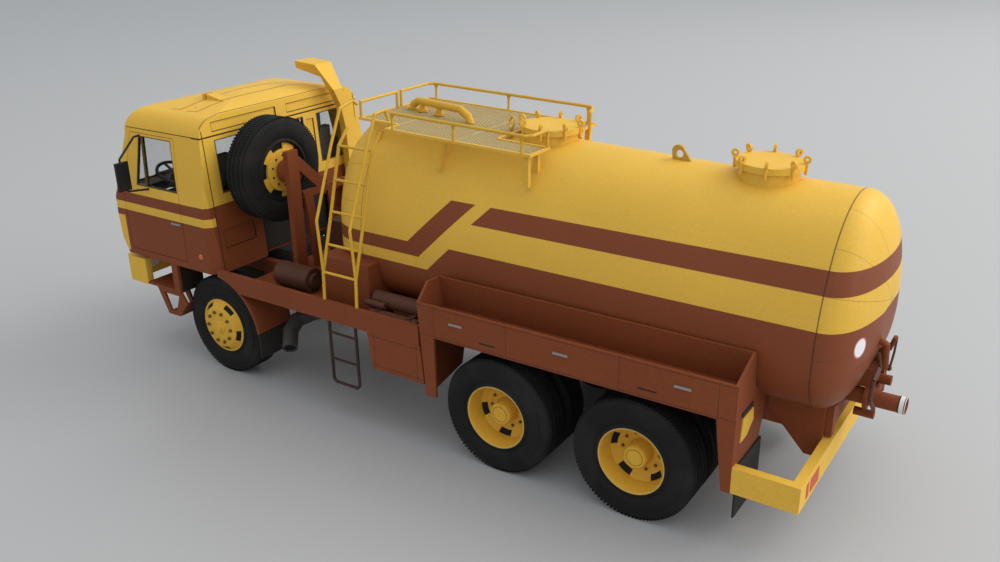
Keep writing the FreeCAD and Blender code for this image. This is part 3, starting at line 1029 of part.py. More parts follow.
post_a = plate("YZ", [(s.spare_y - 0.8, DECK_FACE), (s.spare_y + 3.8, DECK_FACE),
                      (s.spare_y + 3.8, s.spare_z + 7.5),
                      (s.spare_y - 0.8, s.spare_z + 7.5)], POST_BACK, POST_FACE)
brace = plate("YZ", [(s.spare_y - 0.6, s.spare_z + 6.0), (3.6 + ZERO, s.spare_z - 5.5),
                     (3.6 + ZERO, s.spare_z - 10.5),
                     (s.spare_y - 0.6, s.spare_z + 1.0)], POST_BACK + 0.4, POST_FACE - 0.2)
post_b = plate("YZ", [(7.4 + ZERO, DECK_FACE), (11.0 + ZERO, DECK_FACE), (13.6 + ZERO, 61.0 + ZERO),
                      (10.0 + ZERO, 61.0 + ZERO)],
               POST_BACK + 0.2, POST_FACE - 0.4)
shelf = plate("YZ", [(-6.4 + ZERO, 59.2 + ZERO), (14.0 + ZERO, 59.2 + ZERO), (14.0 + ZERO, 61.6 + ZERO),
                     (-6.4 + ZERO, 61.6 + ZERO)],
              POST_BACK + 0.4, POST_FACE - 0.6)
PAD_REACH = s.carrier_at - s.spare_x - SPARE_FACE - s.spare_boss_high
hub_pad = rod(POST_FACE - 0.6, s.spare_y, s.spare_z, (1, 0, 0), s.spare_bore_r + 1.2, PAD_REACH + 0.6)
node("spare_carrier", fuse(post_a, brace, post_b, shelf, hub_pad))

doc.recompute()
bad = [item.Name for item in doc.Objects if "Invalid" in item.State or "Error" in item.State]
if bad:
    raise RuntimeError(f"objects that failed: {bad}")
for label, item in nodes.items():
    shape = item.Shape
    if shape.isNull() or not shape.isValid() or not shape.Solids:
        raise RuntimeError(f"bad shape: {label}")
    shape.exportStep(f"parts/{label}.step")
print(f"{len(nodes)} nodes")
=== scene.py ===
import math
from functools import reduce

import bmesh
import bpy
from bpy.props import FloatProperty, FloatVectorProperty, IntProperty, PointerProperty
from mathutils import Matrix, Vector


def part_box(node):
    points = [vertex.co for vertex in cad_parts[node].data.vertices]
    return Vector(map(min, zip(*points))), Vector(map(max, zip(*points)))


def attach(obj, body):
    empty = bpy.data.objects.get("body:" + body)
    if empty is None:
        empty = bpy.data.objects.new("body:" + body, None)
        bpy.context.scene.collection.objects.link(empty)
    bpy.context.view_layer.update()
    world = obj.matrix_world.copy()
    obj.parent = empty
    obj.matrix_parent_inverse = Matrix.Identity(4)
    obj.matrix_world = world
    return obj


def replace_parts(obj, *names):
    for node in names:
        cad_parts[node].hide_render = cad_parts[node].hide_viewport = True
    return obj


bl_info = {
    "name": "Card Tanker Truck",
    "version": (1, 0, 0),
    "blender": (4, 5, 0),
    "location": "View3D > Sidebar > Tanker",
    "description": "Printed card finishes, treaded tyres, mesh platform and fittings of a 1:32 tanker truck",
    "category": "Object",
}

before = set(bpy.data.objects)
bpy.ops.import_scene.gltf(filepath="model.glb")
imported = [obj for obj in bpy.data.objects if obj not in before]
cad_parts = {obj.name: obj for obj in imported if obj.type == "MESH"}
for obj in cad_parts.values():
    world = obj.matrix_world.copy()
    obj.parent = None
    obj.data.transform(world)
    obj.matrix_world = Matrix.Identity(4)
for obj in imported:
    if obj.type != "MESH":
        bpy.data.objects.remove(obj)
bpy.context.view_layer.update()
MM = 0.001
QUARTER = math.pi / 2
SHARP = math.radians(32)
LEFT, RIGHT = 1, -1
WHEELS = [(axle, side) for axle in ("front", "rear1", "rear2") for side in ("left", "right")]


def middle(low, high):
    return (low + high) / 2


FRONT_AXLE = middle(*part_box("rim_front_left")).x
TYRE_RADIUS = middle(*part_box("tyre_front_left")).z


def station(x, y, z):
    """A point given in millimetres from the front axle."""
    return Vector((FRONT_AXLE + x * MM, y * MM, z * MM))


LENGTH = {"subtype": "DISTANCE", "unit": "LENGTH"}


class TankerColours(bpy.types.PropertyGroup):
    yellow: FloatVectorProperty(name="Yellow", description="Printed yellow of tank and cab",
                                subtype="COLOR", default=(0.75, 0.445, 0.056))
    brown: FloatVectorProperty(name="Brown", description="Printed red brown of stripes, trays and frame",
                               subtype="COLOR", default=(0.215, 0.055, 0.018))
    tyre: FloatVectorProperty(name="Tyre", description="Matt black of the tyres",
                              subtype="COLOR", default=(0.010, 0.010, 0.009))
    ink: FloatVectorProperty(name="Ink", description="Dark of printed lines and shaded interiors",
                             subtype="COLOR", default=(0.028, 0.020, 0.014))
    mesh: FloatVectorProperty(name="Mesh metal", description="Bare metal of the platform mesh",
                              subtype="COLOR", default=(0.54, 0.43, 0.20))
    floor: FloatVectorProperty(name="Table", description="Table under the truck",
                               subtype="COLOR", default=(0.44, 0.44, 0.43))


class TankerSizes(bpy.types.PropertyGroup):
    mesh_pitch: FloatProperty(name="Mesh pitch", description="Spacing of the platform's diamond mesh",
                              default=1.35 * MM, **LENGTH)
    mesh_wire: FloatProperty(name="Mesh wire", description="Width of a mesh strand",
                             default=0.25 * MM, **LENGTH)
    frame_edge: FloatProperty(name="Edge frame", description="Width of the platform's edge strip",
                              default=0.8 * MM, **LENGTH)
    lug_count: IntProperty(name="Tread lugs", description="Lugs in one ring of a tyre's tread", default=96)
    lug_height: FloatProperty(name="Lug height", description="Height of a tread lug",
                              default=0.25 * MM, **LENGTH)
    nut_radius: FloatProperty(name="Nut radius", description="Across corners radius of a wheel nut",
                              default=0.55 * MM, **LENGTH)
    seam_width: FloatProperty(name="Seam width", description="Width of the dark lines where sheets meet",
                              default=0.16 * MM, **LENGTH)


class TankerStage(bpy.types.PropertyGroup):
    key_power: FloatProperty(name="Key light", description="Power of the large window light",
                             unit="POWER", default=5.2)
    fill_power: FloatProperty(name="Fill light", description="Power of the soft light on the left",
                              unit="POWER", default=1.3)
    world_strength: FloatProperty(name="Sky", description="Strength of the even light from all round",
                                  default=0.62)
    lens: FloatProperty(name="Lens", description="Focal length on a 36 mm wide sensor",
                        subtype="DISTANCE_CAMERA", default=34.35)


def colours():
    return bpy.context.scene.tanker_colours


def sizes():
    return bpy.context.scene.tanker_sizes


class Board:
    """Adds nodes to a tree in reading order and links them."""

    def __init__(self, tree):
        self.tree = tree
        self.placed = 0

    def add(self, kind, values=None, **settings):
        """A new node; a value that is a socket is linked."""
        item = self.tree.nodes.new(kind)
        item.location = (self.placed % 8 * 210, -(self.placed // 8) * 280)
        self.placed += 1
        for name, value in settings.items():
            setattr(item, name, value)
        for key, value in (values or {}).items():
            self.feed(item.inputs[key], value)
        return item

    def feed(self, socket, value):
        if isinstance(value, bpy.types.NodeSocket):
            self.tree.links.new(value, socket)
        else:
            socket.default_value = (*value[:3], 1.0) if socket.type == "RGBA" else value

    def out(self, kind, values=None, **settings):
        """The first output of a new node."""
        return self.add(kind, values, **settings).outputs[0]

    def maths(self, operation, *values):
        return self.out("ShaderNodeMath", dict(enumerate(values)), operation=operation)

    def place(self):
        """The object's own coordinates."""
        return self.add("ShaderNodeTexCoord").outputs["Object"]

    def noise(self, place, scale, detail=2.0, **more):
        return self.out("ShaderNodeTexNoise", {"Vector": place, "Scale": scale, "Detail": detail, **more})

    def ranged(self, value, source=(0.0, 1.0), target=(0.0, 1.0)):
        """A value carried from one range into another."""
        return self.out("ShaderNodeMapRange", {"Value": value, "From Min": source[0], "From Max": source[1],
                                               "To Min": target[0], "To Max": target[1]})

    def tinted(self, colour, amount):
        """A colour made lighter or darker."""
        return self.out("ShaderNodeVectorMath", {0: colour, "Scale": amount}, operation="SCALE")


def node_group(name, build):
    """A node group by its name, built the first time it is asked for."""
    return bpy.data.node_groups.get(name) or build(name)


def new_tree(name, kind, inputs, outputs):
    """The board of a new node group with named sockets, and what the group is given."""
    tree = bpy.data.node_groups.new(name, kind)
    for label, socket_kind, default in inputs:
        made = tree.interface.new_socket(label, in_out="INPUT", socket_type="NodeSocket" + socket_kind)
        if default is not None:
            made.default_value = default
    for label, socket_kind in outputs:
        tree.interface.new_socket(label, in_out="OUTPUT", socket_type="NodeSocket" + socket_kind)
    board = Board(tree)
    return board, board.add("NodeGroupInput").outputs


def step_group(name):
    """Step: 0 below an edge and 1 above it, with a soft printed border."""
    board, given = new_tree(name, "ShaderNodeTree", [
        ("Value", "Float", 0.0), ("Edge", "Float", 0.0), ("Softness", "Float", 0.05)], [("Mask", "Float")])
    low, high = (board.maths(way, given["Edge"], given["Softness"]) for way in ("SUBTRACT", "ADD"))
    board.add("NodeGroupOutput", {"Mask": board.ranged(given["Value"], (low, high))})
    return board.tree


def card_group(name):
    """Printed card: paper fibre, faint mottling of the ink and a slightly open surface."""
    board, given = new_tree(name, "ShaderNodeTree", [
        ("Ink", "Color", (0.8, 0.5, 0.1, 1)), ("Mottle", "Float", 0.10), ("Fibre", "Float", 0.5),
        ("Shine", "Float", 0.55)], [("Color", "Color"), ("Roughness", "Float"), ("Height", "Float")])
    place = board.place()
    cloud = board.noise(place, 28.0, 3.0, Roughness=0.55)
    speck = board.noise(place, 1500.0, Roughness=0.6)
    stretched = board.out("ShaderNodeMapping", {
        "Vector": place, "Scale": (900.0, 2600.0, 1700.0), "Rotation": (0.3, 0.5, 0.2)})
    fibre = board.noise(stretched, 1.0, Distortion=0.6)
    mottle = board.maths("ADD", board.ranged(cloud, (0.3, 0.7), (-0.5, 0.5)),
                         board.ranged(speck, (0.25, 0.75), (-0.6, 0.6)))
    board.add("NodeGroupOutput", {
        "Color": board.tinted(given["Ink"], board.maths("MULTIPLY_ADD", mottle, given["Mottle"], 1.0)),
        "Roughness": board.maths("MULTIPLY_ADD", speck, 0.22, given["Shine"]),
        "Height": board.maths("MULTIPLY", board.maths("ADD", fibre, speck), given["Fibre"])})
    return board.tree


class Surface(Board):
    """A new material, its shader, and the masks of what is printed on it."""

    def __init__(self, name, metallic=0.0, coat=0.0, specular=0.18):
        self.material = bpy.data.materials.new(name)
        self.material.use_nodes = True
        super().__init__(self.material.node_tree)
        self.tree.nodes.clear()
        self.shader = self.add("ShaderNodeBsdfPrincipled", {
            "Metallic": metallic, "Coat Weight": coat, "Specular IOR Level": specular})
        self.shader.location = (2100, 0)
        self.add("ShaderNodeOutputMaterial", {"Surface": self.shader.outputs[0]}).location = (2400, 0)

    def shade(self, values):
        """Feeds the shader and hands over the material."""
        for key, value in values.items():
            self.feed(self.shader.inputs[key], value)
        return self.material

    def bump(self, height, strength, depth):
        return self.out("ShaderNodeBump", {"Height": height, "Strength": strength, "Distance": depth * MM})

    def dress(self, ink, mottle=0.10, fibre=0.5, shine=0.50):
        """Puts the card group between an ink and the shader."""
        card = self.add("ShaderNodeGroup", {"Ink": ink, "Mottle": mottle, "Fibre": fibre, "Shine": shine},
                        node_tree=node_group("Printed Card", card_group)).outputs
        return self.shade({"Base Color": card["Color"], "Roughness": card["Roughness"],
                           "Normal": self.bump(card["Height"], 0.35, 0.05)})

    def place_mm(self):
        """Length from the front axle, side and height above the table, in millimetres."""
        shifted = self.out("ShaderNodeMapping", {
            "Vector": self.place(), "Location": (-FRONT_AXLE / MM, 0, 0), "Scale": (1 / MM, 1 / MM, 1 / MM)})
        return self.add("ShaderNodeSeparateXYZ", {"Vector": shifted}).outputs[:]

    def step(self, value, edge, softness=0.06):
        """1 above an edge."""
        return self.out("ShaderNodeGroup", {"Value": value, "Edge": edge, "Softness": softness},
                        node_tree=node_group("Step", step_group))

    def flip(self, mask):
        return self.maths("SUBTRACT", 1.0, mask)

    def below(self, value, edge, softness=0.06):
        return self.flip(self.step(value, edge, softness))

    def band(self, value, low, high, softness=0.06):
        """1 between two edges."""
        return self.all_of(self.step(value, low, softness), self.below(value, high, softness))

    def line(self, value, at, width=None):
        """A printed line, as wide as a seam where no width is given."""
        half = (width or sizes().seam_width / MM) / 2
        return self.band(value, at - half, at + half, 0.04)

    def box(self, first, second, box, grown=0.0):
        """1 inside a rectangle (first low, first high, second low, second high)."""
        return self.all_of(self.band(first, box[0] - grown, box[1] + grown),
                           self.band(second, box[2] - grown, box[3] + grown))

    def outline(self, first, second, box, width):
        """A printed rectangle's line."""
        return self.maths("SUBTRACT", self.box(first, second, box, width / 2),
                          self.box(first, second, box, -width / 2))

    def most(self, *masks):
        return reduce(lambda a, b: self.maths("MAXIMUM", a, b), masks)

    def all_of(self, *masks):
        return reduce(lambda a, b: self.maths("MULTIPLY", a, b), masks)

    def mix(self, mask, first, second):
        """The first colour where the mask is 0 and the second where it is 1."""
        return self.add("ShaderNodeMix", {"Factor": mask, "A": first, "B": second},
                        data_type="RGBA").outputs["Result"]


# The printed finishes' places are millimetres from the front axle (x), middle (y) and table (z).
BARREL_REAR, BARREL_FRONT, BARREL_HEIGHT = -192.2, -55.0, 59.0
GORES = (16, 42, 68, 112, 138, 164)
LABEL_MIDDLE, LABEL_RADIUS, LABEL_RIM = (-200.4, 18.3, 52.8), 2.5, 0.3
REAR_WINDOWS = ((15.8, 30.4), (-8.6, 8.6), (-30.4, -15.8))
TRAY_JOINTS, TRAY_LABELS = (-92.2, -116.0, -149.4, -175.2), (-110.0, -157.0)
OUTER_FACE = 38.6


def tank_livery(board, x, z):
    """Where the tank is brown: its foot, a stripe that bends upwards, and a level one at the rear."""
    slope, stripe, bend = 0.975, (53.4, 57.5), (-77.0, -73.0)
    rear, rear_end, slant = (65.9, 71.3), -95.0, 1.02
    edges = []
    for level, start in zip(stripe, bend):
        rise = board.maths("MAXIMUM", board.maths("MULTIPLY_ADD", x, -slope, start * slope), 0.0)
        edges.append(board.maths("ADD", rise, level))
    foot = board.below(z, board.ranged(x, (-88.1, -80.0), (57.9, 50.0)))
    bent = board.all_of(board.step(z, edges[0]), board.below(z, edges[1]), board.below(z, rear[1]))
    cut = board.maths("MULTIPLY_ADD", board.maths("SUBTRACT", z, rear[0]), slant, x)
    return board.most(foot, bent, board.all_of(board.band(z, *rear), board.below(cut, rear_end)))


def tank_seams(board, x, y, z):
    """Dark lines where the barrel meets its dished ends, and the ends' gores."""
    up = board.maths("SUBTRACT", z, BARREL_HEIGHT)
    ends = board.most(board.below(x, BARREL_REAR), board.step(x, BARREL_FRONT))
    masks = [board.line(x, BARREL_REAR, 0.34), board.line(x, BARREL_FRONT, 0.2)]
    for angle in map(math.radians, GORES):
        across = board.maths("ADD", board.maths("MULTIPLY", y, math.sin(angle)),
                             board.maths("MULTIPLY", up, -math.cos(angle)))
        masks.append(board.all_of(board.line(across, 0.0, 0.14), ends, 0.6))
    return board.most(*masks)


def tank_label(board, *place):
    """Round blank label low on the tank's rear left: its disc and its rim."""
    away = [board.maths("POWER", board.maths("SUBTRACT", axis, at), 2.0)
            for axis, at in zip(place, LABEL_MIDDLE)]
    distance = board.maths("SQRT", reduce(lambda a, b: board.maths("ADD", a, b), away))
    return board.below(distance, LABEL_RADIUS), board.band(distance, LABEL_RADIUS - LABEL_RIM, LABEL_RADIUS)


def tank_finish():
    board = Surface("tank_print", coat=0.06)
    x, y, z = board.place_mm()
    livery = board.mix(tank_livery(board, x, z), colours().yellow, colours().brown)
    inked = board.mix(board.maths("MULTIPLY", tank_seams(board, x, y, z), 0.72), livery, colours().ink)
    disc, rim = tank_label(board, x, y, z)
    labelled = board.mix(rim, board.mix(disc, inked, (0.80, 0.80, 0.80)), (0.70, 0.20, 0.22))
    return board.dress(labelled, mottle=0.09, fibre=0.4, shine=0.42)


def cab_livery(board, x, y, z):
    """Where the cab is brown: below the waist, in one stripe, and all low on its rear wall."""
    waist, stripe_low, stripe_high = 52.5, 55.3, 58.9
    rear = board.all_of(board.below(x, 1.7), board.below(board.maths("ABSOLUTE", y), 35.5))
    stripes = board.most(board.below(z, waist), board.band(z, stripe_low, stripe_high))
    front_corner = board.all_of(board.step(x, 41.2), board.below(z, 50.2))
    return board.most(board.all_of(rear, board.below(z, stripe_high)),
                      board.all_of(board.flip(rear), stripes, board.flip(front_corner)))


def cab_lines(board, x, y, z):
    """Dark lines round the panes, the pressed panels and the roof."""
    window_foot, stripe_high, gutter, roof, corner = 62.5, 58.9, 81.1, 84.0, 35.2
    side = board.maths("ABSOLUTE", y)
    lean = board.maths("SUBTRACT", z, window_foot)
    sloped = lambda value, slope: board.maths("MULTIPLY_ADD", lean, slope, value)
    window = board.all_of(board.band(z, 62.15, 79.0), board.step(sloped(x, -0.13), 11.85),
                          board.below(sloped(x, 0.151), 32.6), board.step(side, 34.5))
    screen = board.all_of(board.step(x, 34.0), board.band(z, 60.0, 79.2),
                          board.below(sloped(side, 0.137), 33.3))
    panes = [board.box(y, z, (*pane, 62.7, 79.4), 0.4) for pane in REAR_WINDOWS]
    pressed = [board.outline(across, z, box, width) for across, box, width in (
        (y, (3.3, 31.0, 82.5, 85.5), 0.24), (y, (-31.0, -1.8, 82.5, 85.5), 0.24),
        (side, (10.6, 13.8, 64.0, 78.4), 0.16), (side, (20.0, 33.3, 44.3, 50.4), 0.2))]
    folds = [board.line(z, gutter, 0.42), board.line(z, stripe_high, 0.12),
             board.all_of(board.line(side, corner + 0.1, 0.4), board.below(z, roof - 0.6))]
    behind = board.all_of(board.below(x, 4.0), board.most(*panes, *pressed, *folds))
    rear_edge = board.all_of(board.step(z, gutter + 0.3), board.line(x, 0.9, 0.36), board.below(side, corner))
    rails = board.all_of(board.step(z, roof), board.below(side, 28.6),
                         board.most(board.line(x, 17.3, 0.5), board.line(x, 9.7, 0.5)), 0.55)
    return board.most(window, screen, behind, rear_edge, rails, board.line(z, gutter + 0.2, 0.2))


def cab_finish():
    board = Surface("cab_print")
    place = board.place_mm()
    livery = board.mix(cab_livery(board, *place), colours().yellow, colours().brown)
    lines = board.maths("MULTIPLY", cab_lines(board, *place), 0.9)
    return board.dress(board.mix(lines, livery, colours().ink), shine=0.42)


def duct_finish():
    """Intake duct: yellow above the deck, its filter box brown."""
    board = Surface("duct_print")
    filter_top = 52.0
    low = board.below(board.place_mm()[2], filter_top)
    return board.dress(board.mix(low, colours().yellow, colours().brown))


def on_outside(board, y, *masks):
    """Masks kept to the outer faces of the side boxes."""
    return board.all_of(board.step(board.maths("ABSOLUTE", y), OUTER_FACE), board.most(*masks))


def tray_lines(board, x, y, z):
    folds = [board.line(z, 36.9, 0.14), board.line(z, 45.6, 0.12)]
    joints = [board.line(x, at, 0.12) for at in TRAY_JOINTS]
    labels = [board.box(x, z, (at - 2.6, at + 2.6, 38.6, 39.1)) for at in TRAY_LABELS]
    return on_outside(board, y, *folds, *joints, *labels)


def locker_lines(board, x, y, z):
    return on_outside(board, y, *(board.line(z, at) for at in (31.4, 22.0)),
                      *(board.line(x, at) for at in (-69.6, -85.4)))


def step_shade(board, x, y, z):
    """The dark inside behind the cab steps."""
    return board.all_of(board.below(x, 18.2), board.below(board.maths("ABSOLUTE", y), 38.1))


def lined_card(name, ink, marks):
    """Card with dark marks: printed lines on the trays and lockers, painted shade behind the cab steps."""
    board = Surface(name)
    return board.dress(board.mix(marks(board, *board.place_mm()), ink, colours().ink), mottle=0.16)


def rubber():
    board = Surface("tyre_rubber")
    place = board.place()
    fine = board.noise(place, 900.0, 3.0)
    dust = board.ranged(board.noise(place, 90.0, 4.0), (0.45, 0.75), (0.0, 0.30))
    return board.shade({"Base Color": board.mix(dust, colours().tyre, (0.045, 0.043, 0.039)),
                        "Roughness": board.maths("MULTIPLY_ADD", fine, 0.2, 0.62),
                        "Normal": board.bump(fine, 0.4, 0.06)})


def metal(name, tone, roughness, amount):
    board = Surface(name, metallic=amount)
    fine = board.noise(board.place(), 1300.0)
    return board.shade({"Base Color": board.tinted(tuple(tone), board.ranged(fine, target=(0.82, 1.15))),
                        "Roughness": board.maths("MULTIPLY_ADD", fine, 0.25, roughness)})


def film():
    """Clear window film with a little haze."""
    board = Surface("window_film", specular=0.5)
    haze = board.noise(board.place(), 120.0, 3.0)
    tint = board.ranged(haze, target=(0.80, 0.92))
    return board.shade({"Transmission Weight": 1.0, "IOR": 1.1,
                        "Roughness": board.maths("MULTIPLY", haze, 0.08),
                        "Base Color": board.out("ShaderNodeCombineXYZ", {axis: tint for axis in "XYZ"})})


def make_finish(name):
    c = colours()
    # The yellow made darker and deeper, for the rims and the wire paint.
    darker_yellow = lambda *share: [part * kept for part, kept in zip(c.yellow, share)]
    cards = {  # material, ink, mottle, shine
        "yellow": ("yellow_print", c.yellow, 0.10, 0.42),
        "rim": ("rim_print", darker_yellow(0.95, 0.92, 0.8), 0.12, 0.36),
        "brown": ("brown_print", c.brown, 0.16, 0.50),
        "dark": ("dark_print", (0.030, 0.026, 0.023), 0.3, 0.6),
        "interior": ("interior_print", (0.11, 0.105, 0.10), 0.2, 0.6),
        "brass": ("dull_yellow_paint", (0.52, 0.31, 0.055), 0.2, 0.38),
        "white": ("white_print", (0.78, 0.78, 0.75), 0.10, 0.4),
        "mirror": ("mirror_foil", (0.020, 0.021, 0.024), 0.2, 0.12),
        "orange": ("orange_print", (0.62, 0.17, 0.05), 0.10, 0.35),
        "red": ("red_print", (0.52, 0.09, 0.045), 0.10, 0.35),
        "nut": ("nut_print", (0.15, 0.075, 0.016), 0.2, 0.50),
        "lip": ("lip_edge", (0.50, 0.40, 0.20), 0.2, 0.6),
        # Black of printed marks, and painted shade behind the wheels' openings and inside the exhaust mouth.
        "slot": ("slot_black", (0.012, 0.012, 0.012), 0.3, 0.6),
        "yellow_wire": ("yellow_wire_paint", darker_yellow(0.86, 0.84, 0.62), 0.14, 0.30),
        "brown_wire": ("brown_wire_paint", (0.045, 0.026, 0.020), 0.3, 0.35),
        # Dark brown of the valve levers; on the deck machinery it is also painted shade.
        "valve_brown": ("valve_paint", (0.095, 0.038, 0.022), 0.3, 0.4),
        "black_wire": ("black_wire_paint", (0.018, 0.019, 0.022), 0.2, 0.35),
    }
    marked = {"tray": tray_lines, "locker": locker_lines, "steps": step_shade}
    metals = {  # material, tone, roughness, metallic
        "mesh": ("mesh_metal", c.mesh, 0.45, 0.05),
        "silver": ("silver_metal", (0.36, 0.34, 0.32), 0.35, 0.6),
        "exhaust": ("exhaust_metal", (0.085, 0.078, 0.072), 0.5, 0.3),
    }
    if name in cards:
        material, ink, mottle, shine = cards[name]
        return Surface(material).dress(ink, mottle=mottle, shine=shine)
    if name in marked:
        return lined_card(f"{name}_print", c.brown, marked[name])
    if name in metals:
        return metal(*metals[name])
    return {"tank": tank_finish, "cab": cab_finish, "duct": duct_finish, "rubber": rubber, "film": film}[name]()


FINISHES = {}
NODE_FINISH = {node: key for key, nodes in {
    "tank": "tank", "duct": "snorkel", "film": "cab_glass", "steps": "cab_steps", "tray": "side_trays",
    "cab": "cab_doors cab_sides cab_front cab_rear_wall cab_roof",
    "yellow": "front_bumper rear_bumper manhole_front manhole_rear platform_supports",
    "brass": "lifting_lug", "yellow_wire": "top_pipe platform_rails upper_ladder",
    "brown_wire": "lower_ladders", "black_wire": "mirrors", "white": "lamps", "silver": "handles",
    # The deck machinery takes the valve brown: partly its own dark brown, partly painted shade of the shaded
    # deck.
    "exhaust": "exhaust", "valve_brown": "deck_machinery", "locker": "lockers", "interior": "seats dashboard",
    "dark": "grille mud_flaps engine_tunnel engine_block front_axle rear_axles backbone_tube",
    "mesh": "platform_deck", "rubber": "spare_tyre", "rim": "spare_rim",
}.items() for node in nodes.split()}


def finish(name):
    """A finish, made the first time it is asked for."""
    if name not in FINISHES:
        FINISHES[name] = make_finish(name)
    return FINISHES[name]


def paint(obj, material):
    obj.data.materials.clear()
    obj.data.materials.append(material)
    for face in obj.data.polygons:
        face.material_index = 0


def put(name, data):
    """A new object in the scene."""
    obj = bpy.data.objects.new(name, data)
    bpy.context.scene.collection.objects.link(obj)
    return obj


def as_mesh(name, bm):
    mesh = bpy.data.meshes.new(name)
    bm.to_mesh(mesh)
    bm.free()
    return mesh


def place_piece(name, mesh, material, body, smooth=True):
    """A finished mesh becomes a piece that rides on a body."""
    obj = put(name, mesh)
    paint(obj, material)
    if smooth:
        mesh.shade_smooth()
        mesh.set_sharp_from_angle(angle=SHARP)
    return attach(obj, body)


def from_bmesh(name, bm, key, body="chassis", smooth=True):
    bmesh.ops.recalc_face_normals(bm, faces=bm.faces)
    return place_piece(name, as_mesh(name, bm), finish(key), body, smooth)


def lathe(bm, profile, steps, centre=Vector(), way=1):
    """Turns a closed outline of (level, radius) points in millimetres about the Y axis through the centre."""
    rows = []
    for i in range(steps):
        a = math.tau * i / steps
        rows.append([bm.verts.new(centre + Vector((r * math.cos(a), way * level, r * math.sin(a))) * MM)
                     for level, r in profile])
    for first, second in zip(rows, rows[1:] + rows[:1]):
        for j in range(len(profile)):
            k = (j + 1) % len(profile)
            bm.faces.new((first[j], first[k], second[k], second[j]))


def tube(start, stop, inner, outer):
    """The outline of a plain ring for the lathe, between two levels and two radii."""
    return [(start, inner), (start, outer), (stop, outer), (stop, inner)]


def swing(bm, centre, turn=QUARTER):
    """Turns a mesh about the Z axis and moves it from the origin to its centre."""
    bmesh.ops.transform(bm, matrix=Matrix.Translation(centre) @ Matrix.Rotation(turn, 4, "Z"), verts=bm.verts)


def dish(bm, section, steps, thick, spot, empty):
    """A turned sheet through (radius, level) points; spot places them and the empty cells stay open."""
    outer, inner = [], []
    for i in range(steps):
        a = math.tau * i / steps
        outer.append([bm.verts.new(spot(r, a, level)) for r, level in section])
        inner.append([bm.verts.new(spot(r, a, level - thick)) for r, level in section])
    last = len(section) - 1

    def filled(i, j):
        return 0 <= j < last and (i % steps, j) not in empty

    for i in range(steps):
        k = (i + 1) % steps
        for j in range(last):
            if not filled(i, j):
                continue
            bm.faces.new((outer[i][j], outer[i][j + 1], outer[k][j + 1], outer[k][j]))
            bm.faces.new((inner[i][j], inner[k][j], inner[k][j + 1], inner[i][j + 1]))
            for near, a, b in ((filled(i, j - 1), (i, j), (k, j)), (filled(i, j + 1), (i, j + 1), (k, j + 1)),
                               (filled(i - 1, j), (i, j), (i, j + 1)), (filled(k, j), (k, j), (k, j + 1))):
                if not near:
                    bm.faces.new((outer[a[0]][a[1]], outer[b[0]][b[1]], inner[b[0]][b[1]], inner[a[0]][a[1]]))
    bmesh.ops.delete(bm, geom=[vert for vert in bm.verts if not vert.link_faces], context="VERTS")


def stick(bm, start, end, radius, sides=8):
    """A round rod between two points."""
    along = end - start
    turn = along.to_track_quat("Z", "Y").to_matrix().to_4x4()
    bmesh.ops.create_cone(bm, cap_ends=True, segments=sides, radius1=radius, radius2=radius, depth=along.length,
                          matrix=Matrix.Translation(middle(start, end)) @ turn)


def slab(bm, low, high, bevel=0.0):
    """A box between two corners, its edges eased where a bevel is given."""
    made = bmesh.ops.create_cube(bm, size=1.0)["verts"]
    bmesh.ops.scale(bm, vec=high - low, verts=made)
    bmesh.ops.translate(bm, vec=middle(low, high), verts=made)
    if bevel:
        edges = list({edge for vert in made for edge in vert.link_edges})
        bmesh.ops.bevel(bm, geom=edges, offset=bevel, segments=2, affect="EDGES")


def slab_pair(bm, low, high, bevel=0.0):
    """A box on the left and its mirror image on the right."""
    slab(bm, low, high, bevel)
    slab(bm, Vector((low.x, -high.y, low.z)), Vector((high.x, -low.y, high.z)), bevel)


def prism(bm, corners, shift):
    """A flat outline drawn out by a shift."""
    near = [bm.verts.new(corner) for corner in corners]
    far = [bm.verts.new(corner + shift) for corner in corners]
    bm.faces.new(near[::-1])
    bm.faces.new(far)
    for i in range(len(near)):
        k = (i + 1) % len(near)
        bm.faces.new((near[i], near[k], far[k], far[i]))


def strip(bm, start, end, width, thick, normal):
    """A flat strip between two points, lying on a surface with that normal."""
    along = (end - start).normalized()
    side = along.cross(normal).normalized() * width / 2
    up = normal * thick / 2
    reach = along * width * 0.3
    corners = (start - reach + side, start - reach - side, end + reach - side, end + reach + side)
    prism(bm, [corner - up for corner in corners], up * 2)


def repeat_tree(name, inputs):
    """The board of a tree that repeats something, with the inputs that every such tree has."""
    return new_tree(name, "GeometryNodeTree", [
        ("Centre", "Vector", (0, 0, 0)), ("Turn", "Vector", (0, 0, 0)), *inputs, ("Material", "Material", None)],
        [("Geometry", "Geometry")])


def finish_tree(board, given, geometry):
    """Turns the repeats, moves them to their centre and makes them one real mesh in its material."""
    placed = board.out("GeometryNodeTransform", {
        "Geometry": geometry, "Translation": given["Centre"], "Rotation": given["Turn"]})
    real = board.out("GeometryNodeRealizeInstances", {"Geometry": placed})
    inked = board.out("GeometryNodeSetMaterial", {"Geometry": real, "Material": given["Material"]})
    board.add("NodeGroupOutput", {"Geometry": inked})
    return board.tree


def grow(name, tree, key, body, values):
    """Runs a geometry tree once and keeps its result as a plain mesh."""
    material = finish(key)
    seed = put(name, bpy.data.meshes.new(name))
    modifier = seed.modifiers.new("Repeat", "NODES")
    modifier.node_group = tree
    for item in tree.interface.items_tree:
        if item.item_type == "SOCKET" and item.in_out == "INPUT":
            modifier[item.identifier] = material if item.name == "Material" else values[item.name]
    bpy.context.view_layer.update()
    ready = seed.evaluated_get(bpy.context.evaluated_depsgraph_get())
    mesh = bpy.data.meshes.new_from_object(ready)
    seed.modifiers.remove(modifier)
    bpy.data.objects.remove(seed)
    if not mesh.polygons:
        raise RuntimeError(f"{name} came out empty")
    mesh.name = name
    return place_piece(name, mesh, material, body)


